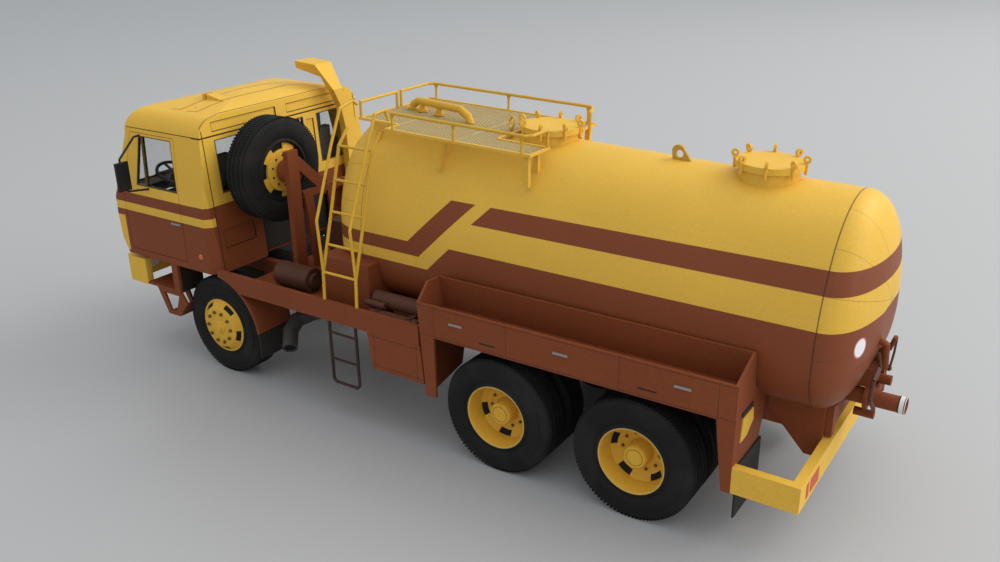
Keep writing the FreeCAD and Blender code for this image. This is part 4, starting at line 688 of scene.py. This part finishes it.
def ring_tree(name):
    """Ring of nuts set round a centre, facing along Y."""
    board, given = repeat_tree(name, [
        ("Count", "Int", 10), ("Ring Radius", "Float", 5 * MM), ("Nut Radius", "Float", 0.5 * MM),
        ("Nut Height", "Float", 0.5 * MM), ("Sides", "Int", 6)])
    circle = board.out("GeometryNodeMeshCircle", {"Vertices": given["Count"], "Radius": given["Ring Radius"]})
    nut = board.out("GeometryNodeMeshCone", {
        "Vertices": given["Sides"], "Radius Top": board.maths("MULTIPLY", given["Nut Radius"], 0.8),
        "Radius Bottom": given["Nut Radius"], "Depth": given["Nut Height"]})
    spread = board.out("GeometryNodeInstanceOnPoints", {"Points": circle, "Instance": nut})
    return finish_tree(board, given, spread)


def tread_tree(name):
    """Tread: a ring of lugs round a tyre's crown, leaning to one side."""
    board, given = repeat_tree(name, [
        ("Count", "Int", 40), ("Radius", "Float", 17 * MM), ("Lug", "Vector", (1.4 * MM, 2.4 * MM, 0.6 * MM)),
        ("Lean", "Float", 0.4), ("Start", "Float", 0.0)])
    circle = board.out("GeometryNodeMeshCircle", {"Vertices": given["Count"], "Radius": given["Radius"]})
    lug = board.out("GeometryNodeMeshCube", {"Size": given["Lug"]})
    where = board.out("GeometryNodeInputPosition")
    facing = board.out("FunctionNodeAlignRotationToVector", {"Vector": where}, axis="Z")
    turn = board.out("FunctionNodeAxisAngleToRotation", {"Axis": (0, 0, 1), "Angle": given["Lean"]})
    lean = board.out("FunctionNodeRotateRotation", {"Rotation": facing, "Rotate By": turn},
                     rotation_space="LOCAL")
    spread = board.out("GeometryNodeInstanceOnPoints", {"Points": circle, "Instance": lug, "Rotation": lean})
    return finish_tree(board, given, board.out("GeometryNodeTransform", {
        "Geometry": spread, "Rotation": board.out("ShaderNodeCombineXYZ", {"Z": given["Start"]})}))


def grating_tree(name):
    """Diamond mesh: crossed strands on a grid of cells."""
    board, given = repeat_tree(name, [
        ("Length", "Float", 50 * MM), ("Width", "Float", 44 * MM), ("Cells Long", "Int", 60),
        ("Cells Wide", "Int", 50), ("Strand", "Vector", (1.2 * MM, 0.2 * MM, 0.2 * MM)), ("Lean", "Float", 0.7)])
    grid = board.out("GeometryNodeMeshGrid", {
        "Size X": given["Length"], "Size Y": given["Width"],
        "Vertices X": given["Cells Long"], "Vertices Y": given["Cells Wide"]})
    strand = board.out("GeometryNodeMeshCube", {"Size": given["Strand"]})
    crossed = board.add("GeometryNodeJoinGeometry")
    for way in (1.0, -1.0):
        turn = board.out("ShaderNodeCombineXYZ", {"Z": board.maths("MULTIPLY", given["Lean"], way)})
        board.feed(crossed.inputs[0], board.out("GeometryNodeInstanceOnPoints", {
            "Points": grid, "Instance": strand, "Rotation": turn}))
    return finish_tree(board, given, crossed.outputs[0])


TOP_DROP, TOP_LENGTH = 4.1, 137.1
TOP_FRONT, TOP_FRONT_HEIGHT = -55.0, 88.6
CROWN_SLOPE = math.atan(TOP_DROP / TOP_LENGTH)
CROWN_AT_AXLE = TOP_FRONT_HEIGHT - TOP_FRONT * math.tan(CROWN_SLOPE)


def crown(x, y, z):
    """A point given along the tank's sloping top, from the front axle."""
    c, s = math.cos(CROWN_SLOPE), math.sin(CROWN_SLOPE)
    return station(x * c - z * s, y, CROWN_AT_AXLE + x * s + z * c)


def on_crown(bm):
    """Moves a mesh that was built level, from the front axle, onto the sloping top."""
    for vert in bm.verts:
        vert.co = crown(*(vert.co / MM))


class TANKER_OT_finishes(bpy.types.Operator):
    """Give every frame node its printed card, wire or metal finish"""
    bl_idname = "tanker.finishes"
    bl_label = "Finishes"

    def execute(self, context):
        for name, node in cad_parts.items():
            wheel = {"rim": "rim", "tyre": "rubber"}.get(name.split("_")[0].rstrip("s"), "brown")
            paint(node, finish(NODE_FINISH.get(name, wheel)))
        return {"FINISHED"}


def wheel_node(part, axle, side):
    """The frame's node of a wheel's tyre or rim; the rear ones are twins."""
    return f"{part}{'' if axle == 'front' else 's'}_{axle}_{side}"


class TANKER_OT_tyres(bpy.types.Operator):
    """Put treaded tyres with moulded sidewalls on every rim"""
    bl_idname = "tanker.tyres"
    bl_label = "Tyres"

    # Half a tyre's width, the radius of its seat and a twin's place from the middle, in millimetres.
    HALF, SEAT, TWIN = 4.7, 9.45, 5.6
    FACETS = 96
    # Rows of lugs: place across and width in half tyres, start in lugs, lean in radians.
    ROWS = ((0.62, 0.46, 0.0, 0.22), (0.21, 0.38, 0.5, -0.5), (-0.21, 0.38, 0.0, 0.5),
            (-0.62, 0.46, 0.5, -0.22))

    def profile(self):
        """(level, radius) round one tyre: seat, bead, sidewall with a rib, shoulder and crown."""
        top = (TYRE_RADIUS - sizes().lug_height) / MM
        side = [(0.7, -0.02), (0.985, 0.0), (0.96, 0.5), (0.90, 1.0), (0.985, 1.6), (1.0, 3.4), (0.985, 4.6),
                (0.945, 4.75), (0.935, 5.9)]
        half = [(level * self.HALF, self.SEAT + rise) for level, rise in side]
        half += [(level * self.HALF, top + rise) for level, rise in ((0.86, -0.5), (0.74, -0.05), (0.25, 0.05))]
        return half + [(-level, radius) for level, radius in reversed(half)]

    def one_tyre(self, name, centre, turn, body, node):
        bm = bmesh.new()
        lathe(bm, self.profile(), self.FACETS)
        swing(bm, centre, turn)
        pieces = [from_bmesh(name, bm, "rubber", body)]
        high, count = sizes().lug_height, sizes().lug_count
        for index, (across, wide, shift, lean) in enumerate(self.ROWS):
            offset = Matrix.Rotation(turn, 3, "Z") @ Vector((0, self.HALF * across * MM, 0))
            lug = Vector((0.60 * MM, self.HALF * wide * MM, high * 1.4))
            pieces.append(grow(f"{name}_tread_{index + 1}", node_group("Tread", tread_tree), "rubber", body, {
                "Centre": centre + offset, "Turn": Vector((QUARTER, 0, turn)), "Count": count,
                "Radius": TYRE_RADIUS - high * 0.72, "Lug": lug, "Lean": lean,
                "Start": shift * math.tau / count}))
        for piece in pieces:
            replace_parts(piece, node)

    def execute(self, context):
        for axle, side in WHEELS:
            node = wheel_node("tyre", axle, side)
            heart = middle(*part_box(node))
            shifts = (0.0,) if axle == "front" else (self.TWIN, -self.TWIN)
            for index, shift in enumerate(shifts):
                self.one_tyre(f"tyre_{axle}_{side}_{index + 1}", heart + Vector((0, shift * MM, 0)), 0.0,
                              f"wheel_{axle}_{side}", node)
        self.one_tyre("tyre_spare", middle(*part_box("spare_tyre")), QUARTER, "chassis", "spare_tyre")
        return {"FINISHED"}


class TANKER_OT_wheels(bpy.types.Operator):
    """Build the dished wheels with their five openings, hubs and nuts"""
    bl_idname = "tanker.wheels"
    bl_label = "Wheels"

    FACETS, OPENINGS, NUTS = 100, 5, 10
    # Turned outlines of (level, radius), the disc's of (radius, level), all from the wheel's middle.
    FRONT = {
        "disc": [(2.2, 6.3), (6.7, 6.3), (7.0, 6.15), (7.3, 5.9), (8.55, 4.8), (8.92, 4.45)],
        "barrel": [(4.62, 8.95), (4.7, 9.1), (4.62, 9.38), (4.3, 9.43), (-4.5, 9.43), (-4.5, 8.6), (4.0, 8.6)],
        "hub": [(5.9, 0.02), (5.9, 2.35), (6.45, 2.3), (6.75, 1.7), (6.8, 1.35), (7.35, 1.25), (7.4, 0.02)],
        "drum": tube(-2.5, 5.9, 2.3, 4.2),
        "shade": [(5.7, 6.8), (4.5, 8.5), (4.4, 8.5), (5.5, 6.8)],
        "face": 6.3, "ring": 5.3, "nut": 1.15, "open": (3,), "first": {"front": 14}}
    REAR = {
        "disc": [(3.2, 3.7), (6.6, 3.7), (6.85, 3.8), (7.0, 3.95), (8.1, 4.95), (8.35, 5.25)],
        "barrel": [(10.12, 8.95), (10.2, 9.1), (10.12, 9.36), (9.9, 9.43), (-10.1, 9.43), (-10.1, 8.8),
                   (0.0, 8.25), (5.2, 8.25)],
        "hub": [(3.4, 0.02), (3.4, 3.45), (7.3, 3.3), (7.75, 3.1), (8.0, 2.85), (8.0, 0.02)],
        "drum": tube(-3.2, 3.5, 2.3, 4.6),
        "shade": [(3.5, 6.8), (4.9, 8.3), (4.8, 8.4), (3.4, 6.8)],
        "line": tube(8.0, 8.04, 2.2, 2.34),
        "edge": [(10.14, 9.22), (10.22, 9.24), (10.22, 9.35), (10.14, 9.37)],
        "face": 3.7, "ring": 5.2, "nut": 0.8, "open": (2, 3, 4), "first": {"rear1": 16, "rear2": 4}}

    def nuts(self, name, key, body, centre, turn, ring_radius, nut_radius, high, sides):
        grow(name, node_group("Nut Ring", ring_tree), key, body, {
            "Centre": centre, "Turn": Vector(turn), "Count": self.NUTS, "Ring Radius": ring_radius * MM,
            "Nut Radius": nut_radius, "Nut Height": high * MM, "Sides": sides})

    def openings(self, first, half, columns):
        """Cells of the openings, from the middle step of the first."""
        pitch = self.FACETS // self.OPENINGS
        return frozenset(((first + pitch * n + i) % self.FACETS, column)
                         for n in range(self.OPENINGS) for i in range(-half, half) for column in columns)

    def road_wheel(self, axle, side):
        way = LEFT if side == "left" else RIGHT
        plan = self.FRONT if axle == "front" else self.REAR
        body = f"wheel_{axle}_{side}"
        heart = middle(*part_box(wheel_node("tyre", axle, side)))

        def spot(r, a, level):
            return heart + Vector((r * math.cos(a), way * level, r * math.sin(a))) * MM

        def ring(part, key):
            bm = bmesh.new()
            lathe(bm, plan[part], self.FACETS, heart, way)
            from_bmesh(f"{body}_{part}", bm, key, body)

        bm = bmesh.new()
        for part in ("barrel", "hub", "drum"):
            lathe(bm, plan[part], self.FACETS, heart, way)
        dish(bm, plan["disc"], self.FACETS, 0.16, spot, self.openings(plan["first"][axle], 4, plan["open"]))
        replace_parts(from_bmesh(f"{body}_rim", bm, "rim", body), wheel_node("rim", axle, side))
        # Painted shade: a black cone just behind the disc, so its openings look dark.
        ring("shade", "slot")
        for part, key, out, share, high in (("nuts", "nut", 0.25, plan["nut"], 0.6),
                                            ("studs", "rim", 0.6, 0.4, 0.3)):
            self.nuts(f"{body}_{part}", key, body, heart + Vector((0, way * (plan["face"] + out) * MM, 0)),
                      (-way * QUARTER, 0, 0), plan["ring"], sizes().nut_radius * share, high, 8)
        if axle != "front":
            ring("line", "nut")
            ring("edge", "lip")

    def spare_wheel(self):
        heart = middle(*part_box("spare_tyre"))
        bm = bmesh.new()
        dish(bm, [(2.7, 4.4), (6.7, 4.4), (6.85, 4.3), (6.95, 3.9), (8.3, 3.75), (9.0, 3.6)], self.FACETS, 0.45,
             lambda r, a, level: heart + Vector((-level, r * math.cos(a), r * math.sin(a))) * MM,
             self.openings(2, 5, (3, 4)))
        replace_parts(from_bmesh("spare_disc", bm, "rim"), "spare_rim")
        # Painted shade: the barrel and a plate just behind the disc are black, so its openings look dark.
        bm = bmesh.new()
        lathe(bm, [(4.3, 9.1), (4.3, 9.43), (-4.3, 9.43), (-4.3, 8.7), (3.0, 8.7)], self.FACETS)
        lathe(bm, tube(3.2, 2.9, 2.75, 9.0), self.FACETS)
        swing(bm, heart)
        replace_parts(from_bmesh("spare_barrel_shade", bm, "slot"), "spare_rim")
        self.nuts("spare_holes", "slot", "chassis", heart - Vector((4.42 * MM, 0, 0)), (0, -QUARTER, 0),
                  5.0, 0.42 * MM, 0.12, 12)

    def execute(self, context):
        for axle, side in WHEELS:
            self.road_wheel(axle, side)
        self.spare_wheel()
        return {"FINISHED"}


class TANKER_OT_grating(bpy.types.Operator):
    """Swap the platform's plain sheet for diamond mesh in an edge frame"""
    bl_idname = "tanker.grating"
    bl_label = "Platform mesh"

    OUTLINE = [(-111, -19), (-49, -19), (-49, 16), (-64, 16), (-64, 22), (-113.5, 22), (-113.5, 12), (-97, 12),
               (-97, -10.5), (-111, -10.5)]
    AREAS = {"mesh_rear_left": (-113.2, 12.2, -97.2, 21.7), "mesh_rear_right": (-110.7, -18.7, -97.2, -10.8),
             "mesh_main": (-97.2, -18.7, -64.2, 21.7), "mesh_landing": (-64.2, -18.7, -49.3, 15.7)}
    LEAN = math.radians(41)
    FOOT, TOP = 0.15, 0.9
    POSTS = [(x, 21.8) for x in (-66.9, -88.4, -110.6)] + [(x, -18.8) for x in (-51.9, -80.0, -108.1)]

    def mesh_area(self, name, x0, y0, x1, y1):
        pitch = sizes().mesh_pitch
        long, wide = (x1 - x0) * MM, (y1 - y0) * MM
        step_x, step_y = pitch, pitch * math.tan(self.LEAN)
        piece = grow(name, node_group("Diamond Mesh", grating_tree), "mesh", "chassis", {
            "Length": long - step_x, "Width": wide - step_y,
            "Cells Long": int(long / step_x), "Cells Wide": int(wide / step_y),
            "Strand": Vector((pitch / math.cos(self.LEAN) * 1.02, sizes().mesh_wire, 0.14 * MM)),
            "Lean": self.LEAN, "Centre": crown((x0 + x1) / 2, (y0 + y1) / 2, 0.55),
            "Turn": Vector((0, -CROWN_SLOPE, 0))})
        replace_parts(piece, "platform_deck")

    def edge_frame(self, bm):
        """Strips along the outline; those that run across are sunk a little into the others."""
        edge = sizes().frame_edge / MM
        corners = [Vector(corner) for corner in self.OUTLINE]
        for a, b in zip(corners, corners[1:] + corners[:1]):
            along = b - a
            inward = Vector((-along.y, along.x)).normalized() * edge / 2
            low, high = (Vector([pick(pair) for pair in zip(a, b)]) + inward for pick in (min, max))
            margin = Vector((0, edge / 2, 0)) if along.x else Vector((edge / 2 - 0.05, -0.05, -0.05))
            slab(bm, (Vector((*low, self.FOOT)) - margin) * MM, (Vector((*high, self.TOP)) + margin) * MM)

    def joists(self, bm):
        for x, y in ((-64.1, 15.8), (-88.0, 21.6)):
            slab(bm, Vector((x - 0.3, -18.6, self.FOOT)) * MM, Vector((x + 0.3, y, 0.6)) * MM, 0.05 * MM)
        for y in (-7.0, 7.0):
            slab(bm, Vector((-96.6, y - 0.3, self.FOOT)) * MM, Vector((-49.4, y + 0.3, 0.5)) * MM, 0.05 * MM)

    def post_tops(self, bm):
        for x, y in self.POSTS:
            bmesh.ops.create_cone(bm, cap_ends=True, segments=12, radius1=0.36 * MM, radius2=0.8 * MM,
                                  depth=1.2 * MM, matrix=Matrix.Translation(Vector((x, y, 4.75)) * MM))

    def execute(self, context):
        for name, area in self.AREAS.items():
            self.mesh_area(name, *area)
        for name, key, build, replaced in (("mesh_frame", "yellow", self.edge_frame, "platform_deck"),
                                           ("mesh_joists", "mesh", self.joists, "platform_deck"),
                                           ("post_tops", "yellow_wire", self.post_tops, None)):
            bm = bmesh.new()
            build(bm)
            on_crown(bm)
            piece = from_bmesh(name, bm, key)
            if replaced:
                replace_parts(piece, replaced)
        return {"FINISHED"}


class TANKER_OT_cab_trim(bpy.types.Operator):
    """Add mirrors, wipers, side markers and inner wings to the cab"""
    bl_idname = "tanker.cab_trim"
    bl_label = "Cab trim"

    MIRROR_ARM = [(28.7, 34.6, 79.4), (30.2, 38.4, 78.8), (30.4, 44.9, 72.6), (30.4, 44.9, 62.6),
                  (29.8, 43.8, 61.6), (25.6, 37.4, 61.6)]
    # Piece, finish, rear and front face, and how far its edge stays inside the card.
    MIRROR_PARTS = (("mirror_cards", "dark", 29.3, 30.3, 0.0), ("mirror_glasses", "mirror", 29.18, 29.32, 0.25))
    MARKER = [(0.0, 0.02), (0.0, 1.0), (0.25, 0.85), (0.35, 0.02)]

    def mirrors(self):
        bm = bmesh.new()
        for way in (LEFT, RIGHT):
            points = [station(x, y * way, z) for x, y, z in self.MIRROR_ARM]
            for start, stop in zip(points, points[1:]):
                stick(bm, start, stop, 0.36 * MM)
        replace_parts(from_bmesh("mirror_arms", bm, "black_wire"), "mirrors")
        for name, key, x0, x1, pad in self.MIRROR_PARTS:
            bm = bmesh.new()
            slab_pair(bm, station(x0, 42.6 + pad, 62.1 + pad), station(x1, 47.4 - pad, 71.7 - pad), 0.05 * MM)
            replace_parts(from_bmesh(name, bm, key, smooth=False), "mirrors")

    def wipers(self):
        foot_x, foot_z, lean = 44.9, 56.1, 0.338
        on_screen = lambda y, z: station(foot_x - (z - foot_z) * lean + 0.25, y, z)
        normal = Vector((1, 0, 0.34)).normalized()
        bm = bmesh.new()
        for foot in (-16.0, 7.0):
            strip(bm, on_screen(foot, 58.4), on_screen(foot + 9.0, 60.6), 0.4 * MM, 0.3 * MM, normal)
            strip(bm, on_screen(foot + 2.5, 60.7), on_screen(foot + 15.5, 60.6), 0.45 * MM, 0.3 * MM, normal)
        from_bmesh("wipers", bm, "black_wire", smooth=False)

    def execute(self, context):
        self.mirrors()
        self.wipers()
        bm = bmesh.new()
        for way in (LEFT, RIGHT):
            lathe(bm, self.MARKER, 24, station(3.7, 39.0 * way, 41.9), way)
        from_bmesh("side_markers", bm, "orange")
        bm = bmesh.new()
        slab_pair(bm, station(3.0, 13.9, 19.5), station(22.0, 14.2, 28.4), 0.05 * MM)
        from_bmesh("inner_wings", bm, "dark", smooth=False)
        return {"FINISHED"}


class TANKER_OT_plates(bpy.types.Operator):
    """Add the rear plate, bar patches, outlet bands, painted shade in the exhaust mouth and valve levers"""
    bl_idname = "tanker.plates"
    bl_label = "Rear fittings"

    PLATES = (("blank_plate", "yellow", [(34.4, 35.7), (27.6, 35.7), (27.0, 32.2), (31.2, 29.6), (35.3, 29.6)]),
              ("plate_lamp", "dark", [(35.1, 36.3), (35.1, 37.4), (27.9, 37.4), (27.9, 36.3)]))
    OUTLET, BORE, OUTLET_FACETS = (3.0 * MM, 33.0 * MM), 2.1, 40
    # Piece, finish, start and stop from the pipe's end, and inner and outer radius.
    OUTLET_RINGS = (("outlet_band", "white", 0.05, 1.5, BORE, BORE + 0.06),
                    ("outlet_line", "slot", 0.25, 0.42, BORE, BORE + 0.1),
                    ("outlet_edge", "slot", 1.5, 1.78, BORE, BORE + 0.08),
                    ("outlet_cap", "white", 0.5, 0.8, 0.02, 1.7))
    LEVERS = (([(-205.0, 0.2, 49.4), (-204.9, 0.6, 45.5), (-204.6, 2.4, 41.0)], 0.3),
              ([(-203.6, 9.0, 44.4), (-203.6, 11.6, 43.2), (-203.6, 14.8, 42.0)], 0.38),
              ([(-203.6, 10.2, 44.8), (-203.6, 14.6, 43.4), (-203.6, 15.6, 38.8), (-203.6, 9.4, 33.4)], 0.55),
              ([(-202.6, 7.6, 47.6), (-203.4, 7.2, 43.6), (-203.4, 10.2, 41.8)], 0.45),
              ([(-203.4, 3.0, 43.0), (-204.4, 1.0, 41.0)], 0.7))

    def execute(self, context):
        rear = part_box("side_trays")[0].x
        for name, key, corners in self.PLATES:
            bm = bmesh.new()
            prism(bm, [Vector((rear, y * MM, z * MM)) for y, z in corners], Vector((-0.3 * MM, 0, 0)))
            from_bmesh(name, bm, key, smooth=False)
        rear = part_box("rear_bumper")[0].x
        bm = bmesh.new()
        for y0, y1 in ((24.4, 30.8), (32.3, 34.0)):
            slab_pair(bm, Vector((rear - 0.12 * MM, y0 * MM, 19.1 * MM)),
                      Vector((rear + 0.05 * MM, y1 * MM, 22.9 * MM)))
        from_bmesh("rear_lamps", bm, "red", smooth=False)
        outlet = Vector((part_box("outlet_pipe")[0].x, *self.OUTLET))
        for name, key, start, stop, inner, outer in self.OUTLET_RINGS:
            bm = bmesh.new()
            lathe(bm, tube(-start, -stop, inner, outer), self.OUTLET_FACETS)
            swing(bm, outlet)
            from_bmesh(name, bm, key)
        # Painted shade: a black disc a little inside the exhaust mouth.
        bm = bmesh.new()
        mouth, inwards = station(-28.3, 34.0, 14.8), Vector((3.7, -4.4, 3.6)).normalized()
        stick(bm, mouth + inwards * 0.5 * MM, mouth + inwards * 0.8 * MM, 1.98 * MM, 32)
        from_bmesh("exhaust_mouth_shade", bm, "slot")
        bm = bmesh.new()
        for points, radius in self.LEVERS:
            for start, stop in zip(points, points[1:]):
                stick(bm, station(*start), station(*stop), radius * MM)
        from_bmesh("valve_levers", bm, "valve_brown")
        return {"FINISHED"}


class TANKER_OT_stage(bpy.types.Operator):
    """Set the pale table, soft lights and the camera"""
    bl_idname = "tanker.stage"
    bl_label = "Stage"

    TABLE_REACH, SENSOR = 6.0, 36.0
    AZIMUTH, ELEVATION, ROLL = (math.radians(angle) for angle in (-56.00, -22.16, -1.01))

    def table(self):
        bm = bmesh.new()
        bmesh.ops.create_grid(bm, x_segments=2, y_segments=2, size=self.TABLE_REACH)
        table = put("table", as_mesh("table", bm))
        board = Surface("table_top", specular=0.3)
        grain = board.maths("MULTIPLY", board.noise(board.place(), 900.0), 0.06)
        table.data.materials.append(board.shade({
            "Base Color": board.mix(grain, colours().floor, (0.5, 0.5, 0.5)), "Roughness": 0.45}))

    def room(self, context):
        """One sky lights the truck; the camera and, more faintly, reflections see another."""
        world = context.scene.world = bpy.data.worlds.new("room")
        world.use_nodes = True
        world.node_tree.nodes.clear()
        board = Board(world.node_tree)
        strength = context.scene.tanker_stage.world_strength
        light = board.out("ShaderNodeBackground", {"Color": (0.90, 0.93, 1.0), "Strength": strength})
        seen = board.out("ShaderNodeBackground", {"Color": (0.70, 0.76, 0.80), "Strength": 1.0})
        rays = board.add("ShaderNodeLightPath").outputs
        faint = board.maths("MULTIPLY", rays["Is Glossy Ray"], 0.7)
        shown = board.maths("MAXIMUM", rays["Is Camera Ray"], faint)
        board.add("ShaderNodeOutputWorld", {
            "Surface": board.out("ShaderNodeMixShader", {0: shown, 1: light, 2: seen})})

    def lamps(self, context):
        key, fill = context.scene.tanker_stage.key_power, context.scene.tanker_stage.fill_power
        target = Vector((0.0, 0.0, 0.04))
        for name, spot, size, power, tint in (
                ("window", (-0.75, -0.95, 0.95), 0.9, key * 2.2, (1.0, 0.98, 0.95)),
                ("bounce", (-0.35, 1.15, 0.75), 1.3, fill * 1.7, (0.95, 0.97, 1.0)),
                ("back", (-1.25, -0.25, 0.5), 0.9, key * 1.1, (1.0, 1.0, 1.0)),
                ("top", (-0.3, 0.0, 1.45), 1.4, key * 0.95, (1.0, 1.0, 1.0))):
            lamp = bpy.data.lights.new(name, "AREA")
            lamp.shape = "SQUARE"
            lamp.size = size
            lamp.energy = power
            lamp.color = tint
            holder = put(name, lamp)
            holder.location = spot
            holder.rotation_euler = (target - Vector(spot)).to_track_quat("-Z", "Y").to_euler()

    def camera(self, context):
        """The photo's own place and direction."""
        eye = bpy.data.cameras.new("camera")
        eye.sensor_width = self.SENSOR
        eye.lens = context.scene.tanker_stage.lens
        eye.clip_start = 0.005
        viewer = put("camera", eye)
        level, rise = math.cos(self.ELEVATION), math.sin(self.ELEVATION)
        ahead = Vector((level * math.cos(self.AZIMUTH), level * math.sin(self.AZIMUTH), rise))
        right = ahead.cross(Vector((0, 0, 1))).normalized()
        up = right.cross(ahead)
        c, s = math.cos(self.ROLL), math.sin(self.ROLL)
        turn = Matrix((right * c + up * s, up * c - right * s, -ahead)).transposed()
        viewer.matrix_world = Matrix.Translation(station(-242.11, 227.99, 151.36)) @ turn.to_4x4()
        context.scene.camera = viewer

    def execute(self, context):
        self.table()
        self.room(context)
        self.lamps(context)
        self.camera(context)
        context.scene.view_settings.view_transform = "Standard"
        return {"FINISHED"}


class TANKER_PT_panel(bpy.types.Panel):
    """Settings and steps of the card tanker"""
    bl_label = "Card Tanker Truck"
    bl_idname = "TANKER_PT_panel"
    bl_space_type = "VIEW_3D"
    bl_region_type = "UI"
    bl_category = "Tanker"

    def draw(self, context):
        for name in SETTINGS:
            box = self.layout.box()
            settings = getattr(context.scene, name)
            for key in settings.bl_rna.properties.keys():
                if key not in ("rna_type", "name"):
                    box.prop(settings, key)
        for step_class in STEPS:
            self.layout.operator(step_class.bl_idname)


STEPS = (TANKER_OT_finishes, TANKER_OT_tyres, TANKER_OT_wheels, TANKER_OT_grating, TANKER_OT_cab_trim,
         TANKER_OT_plates, TANKER_OT_stage)
SETTINGS = {"tanker_colours": TankerColours, "tanker_sizes": TankerSizes, "tanker_stage": TankerStage}
CLASSES = (*SETTINGS.values(), *STEPS, TANKER_PT_panel)


def register():
    for each in CLASSES:
        bpy.utils.register_class(each)
    for name, each in SETTINGS.items():
        setattr(bpy.types.Scene, name, PointerProperty(type=each))


def unregister():
    for name in SETTINGS:
        delattr(bpy.types.Scene, name)
    for each in reversed(CLASSES):
        bpy.utils.unregister_class(each)


def main():
    register()
    bpy.ops.tanker.finishes()
    bpy.ops.tanker.tyres()
    bpy.ops.tanker.wheels()
    bpy.ops.tanker.grating()
    bpy.ops.tanker.cab_trim()
    bpy.ops.tanker.plates()
    bpy.ops.tanker.stage()


if __name__ == "__main__":
    main()
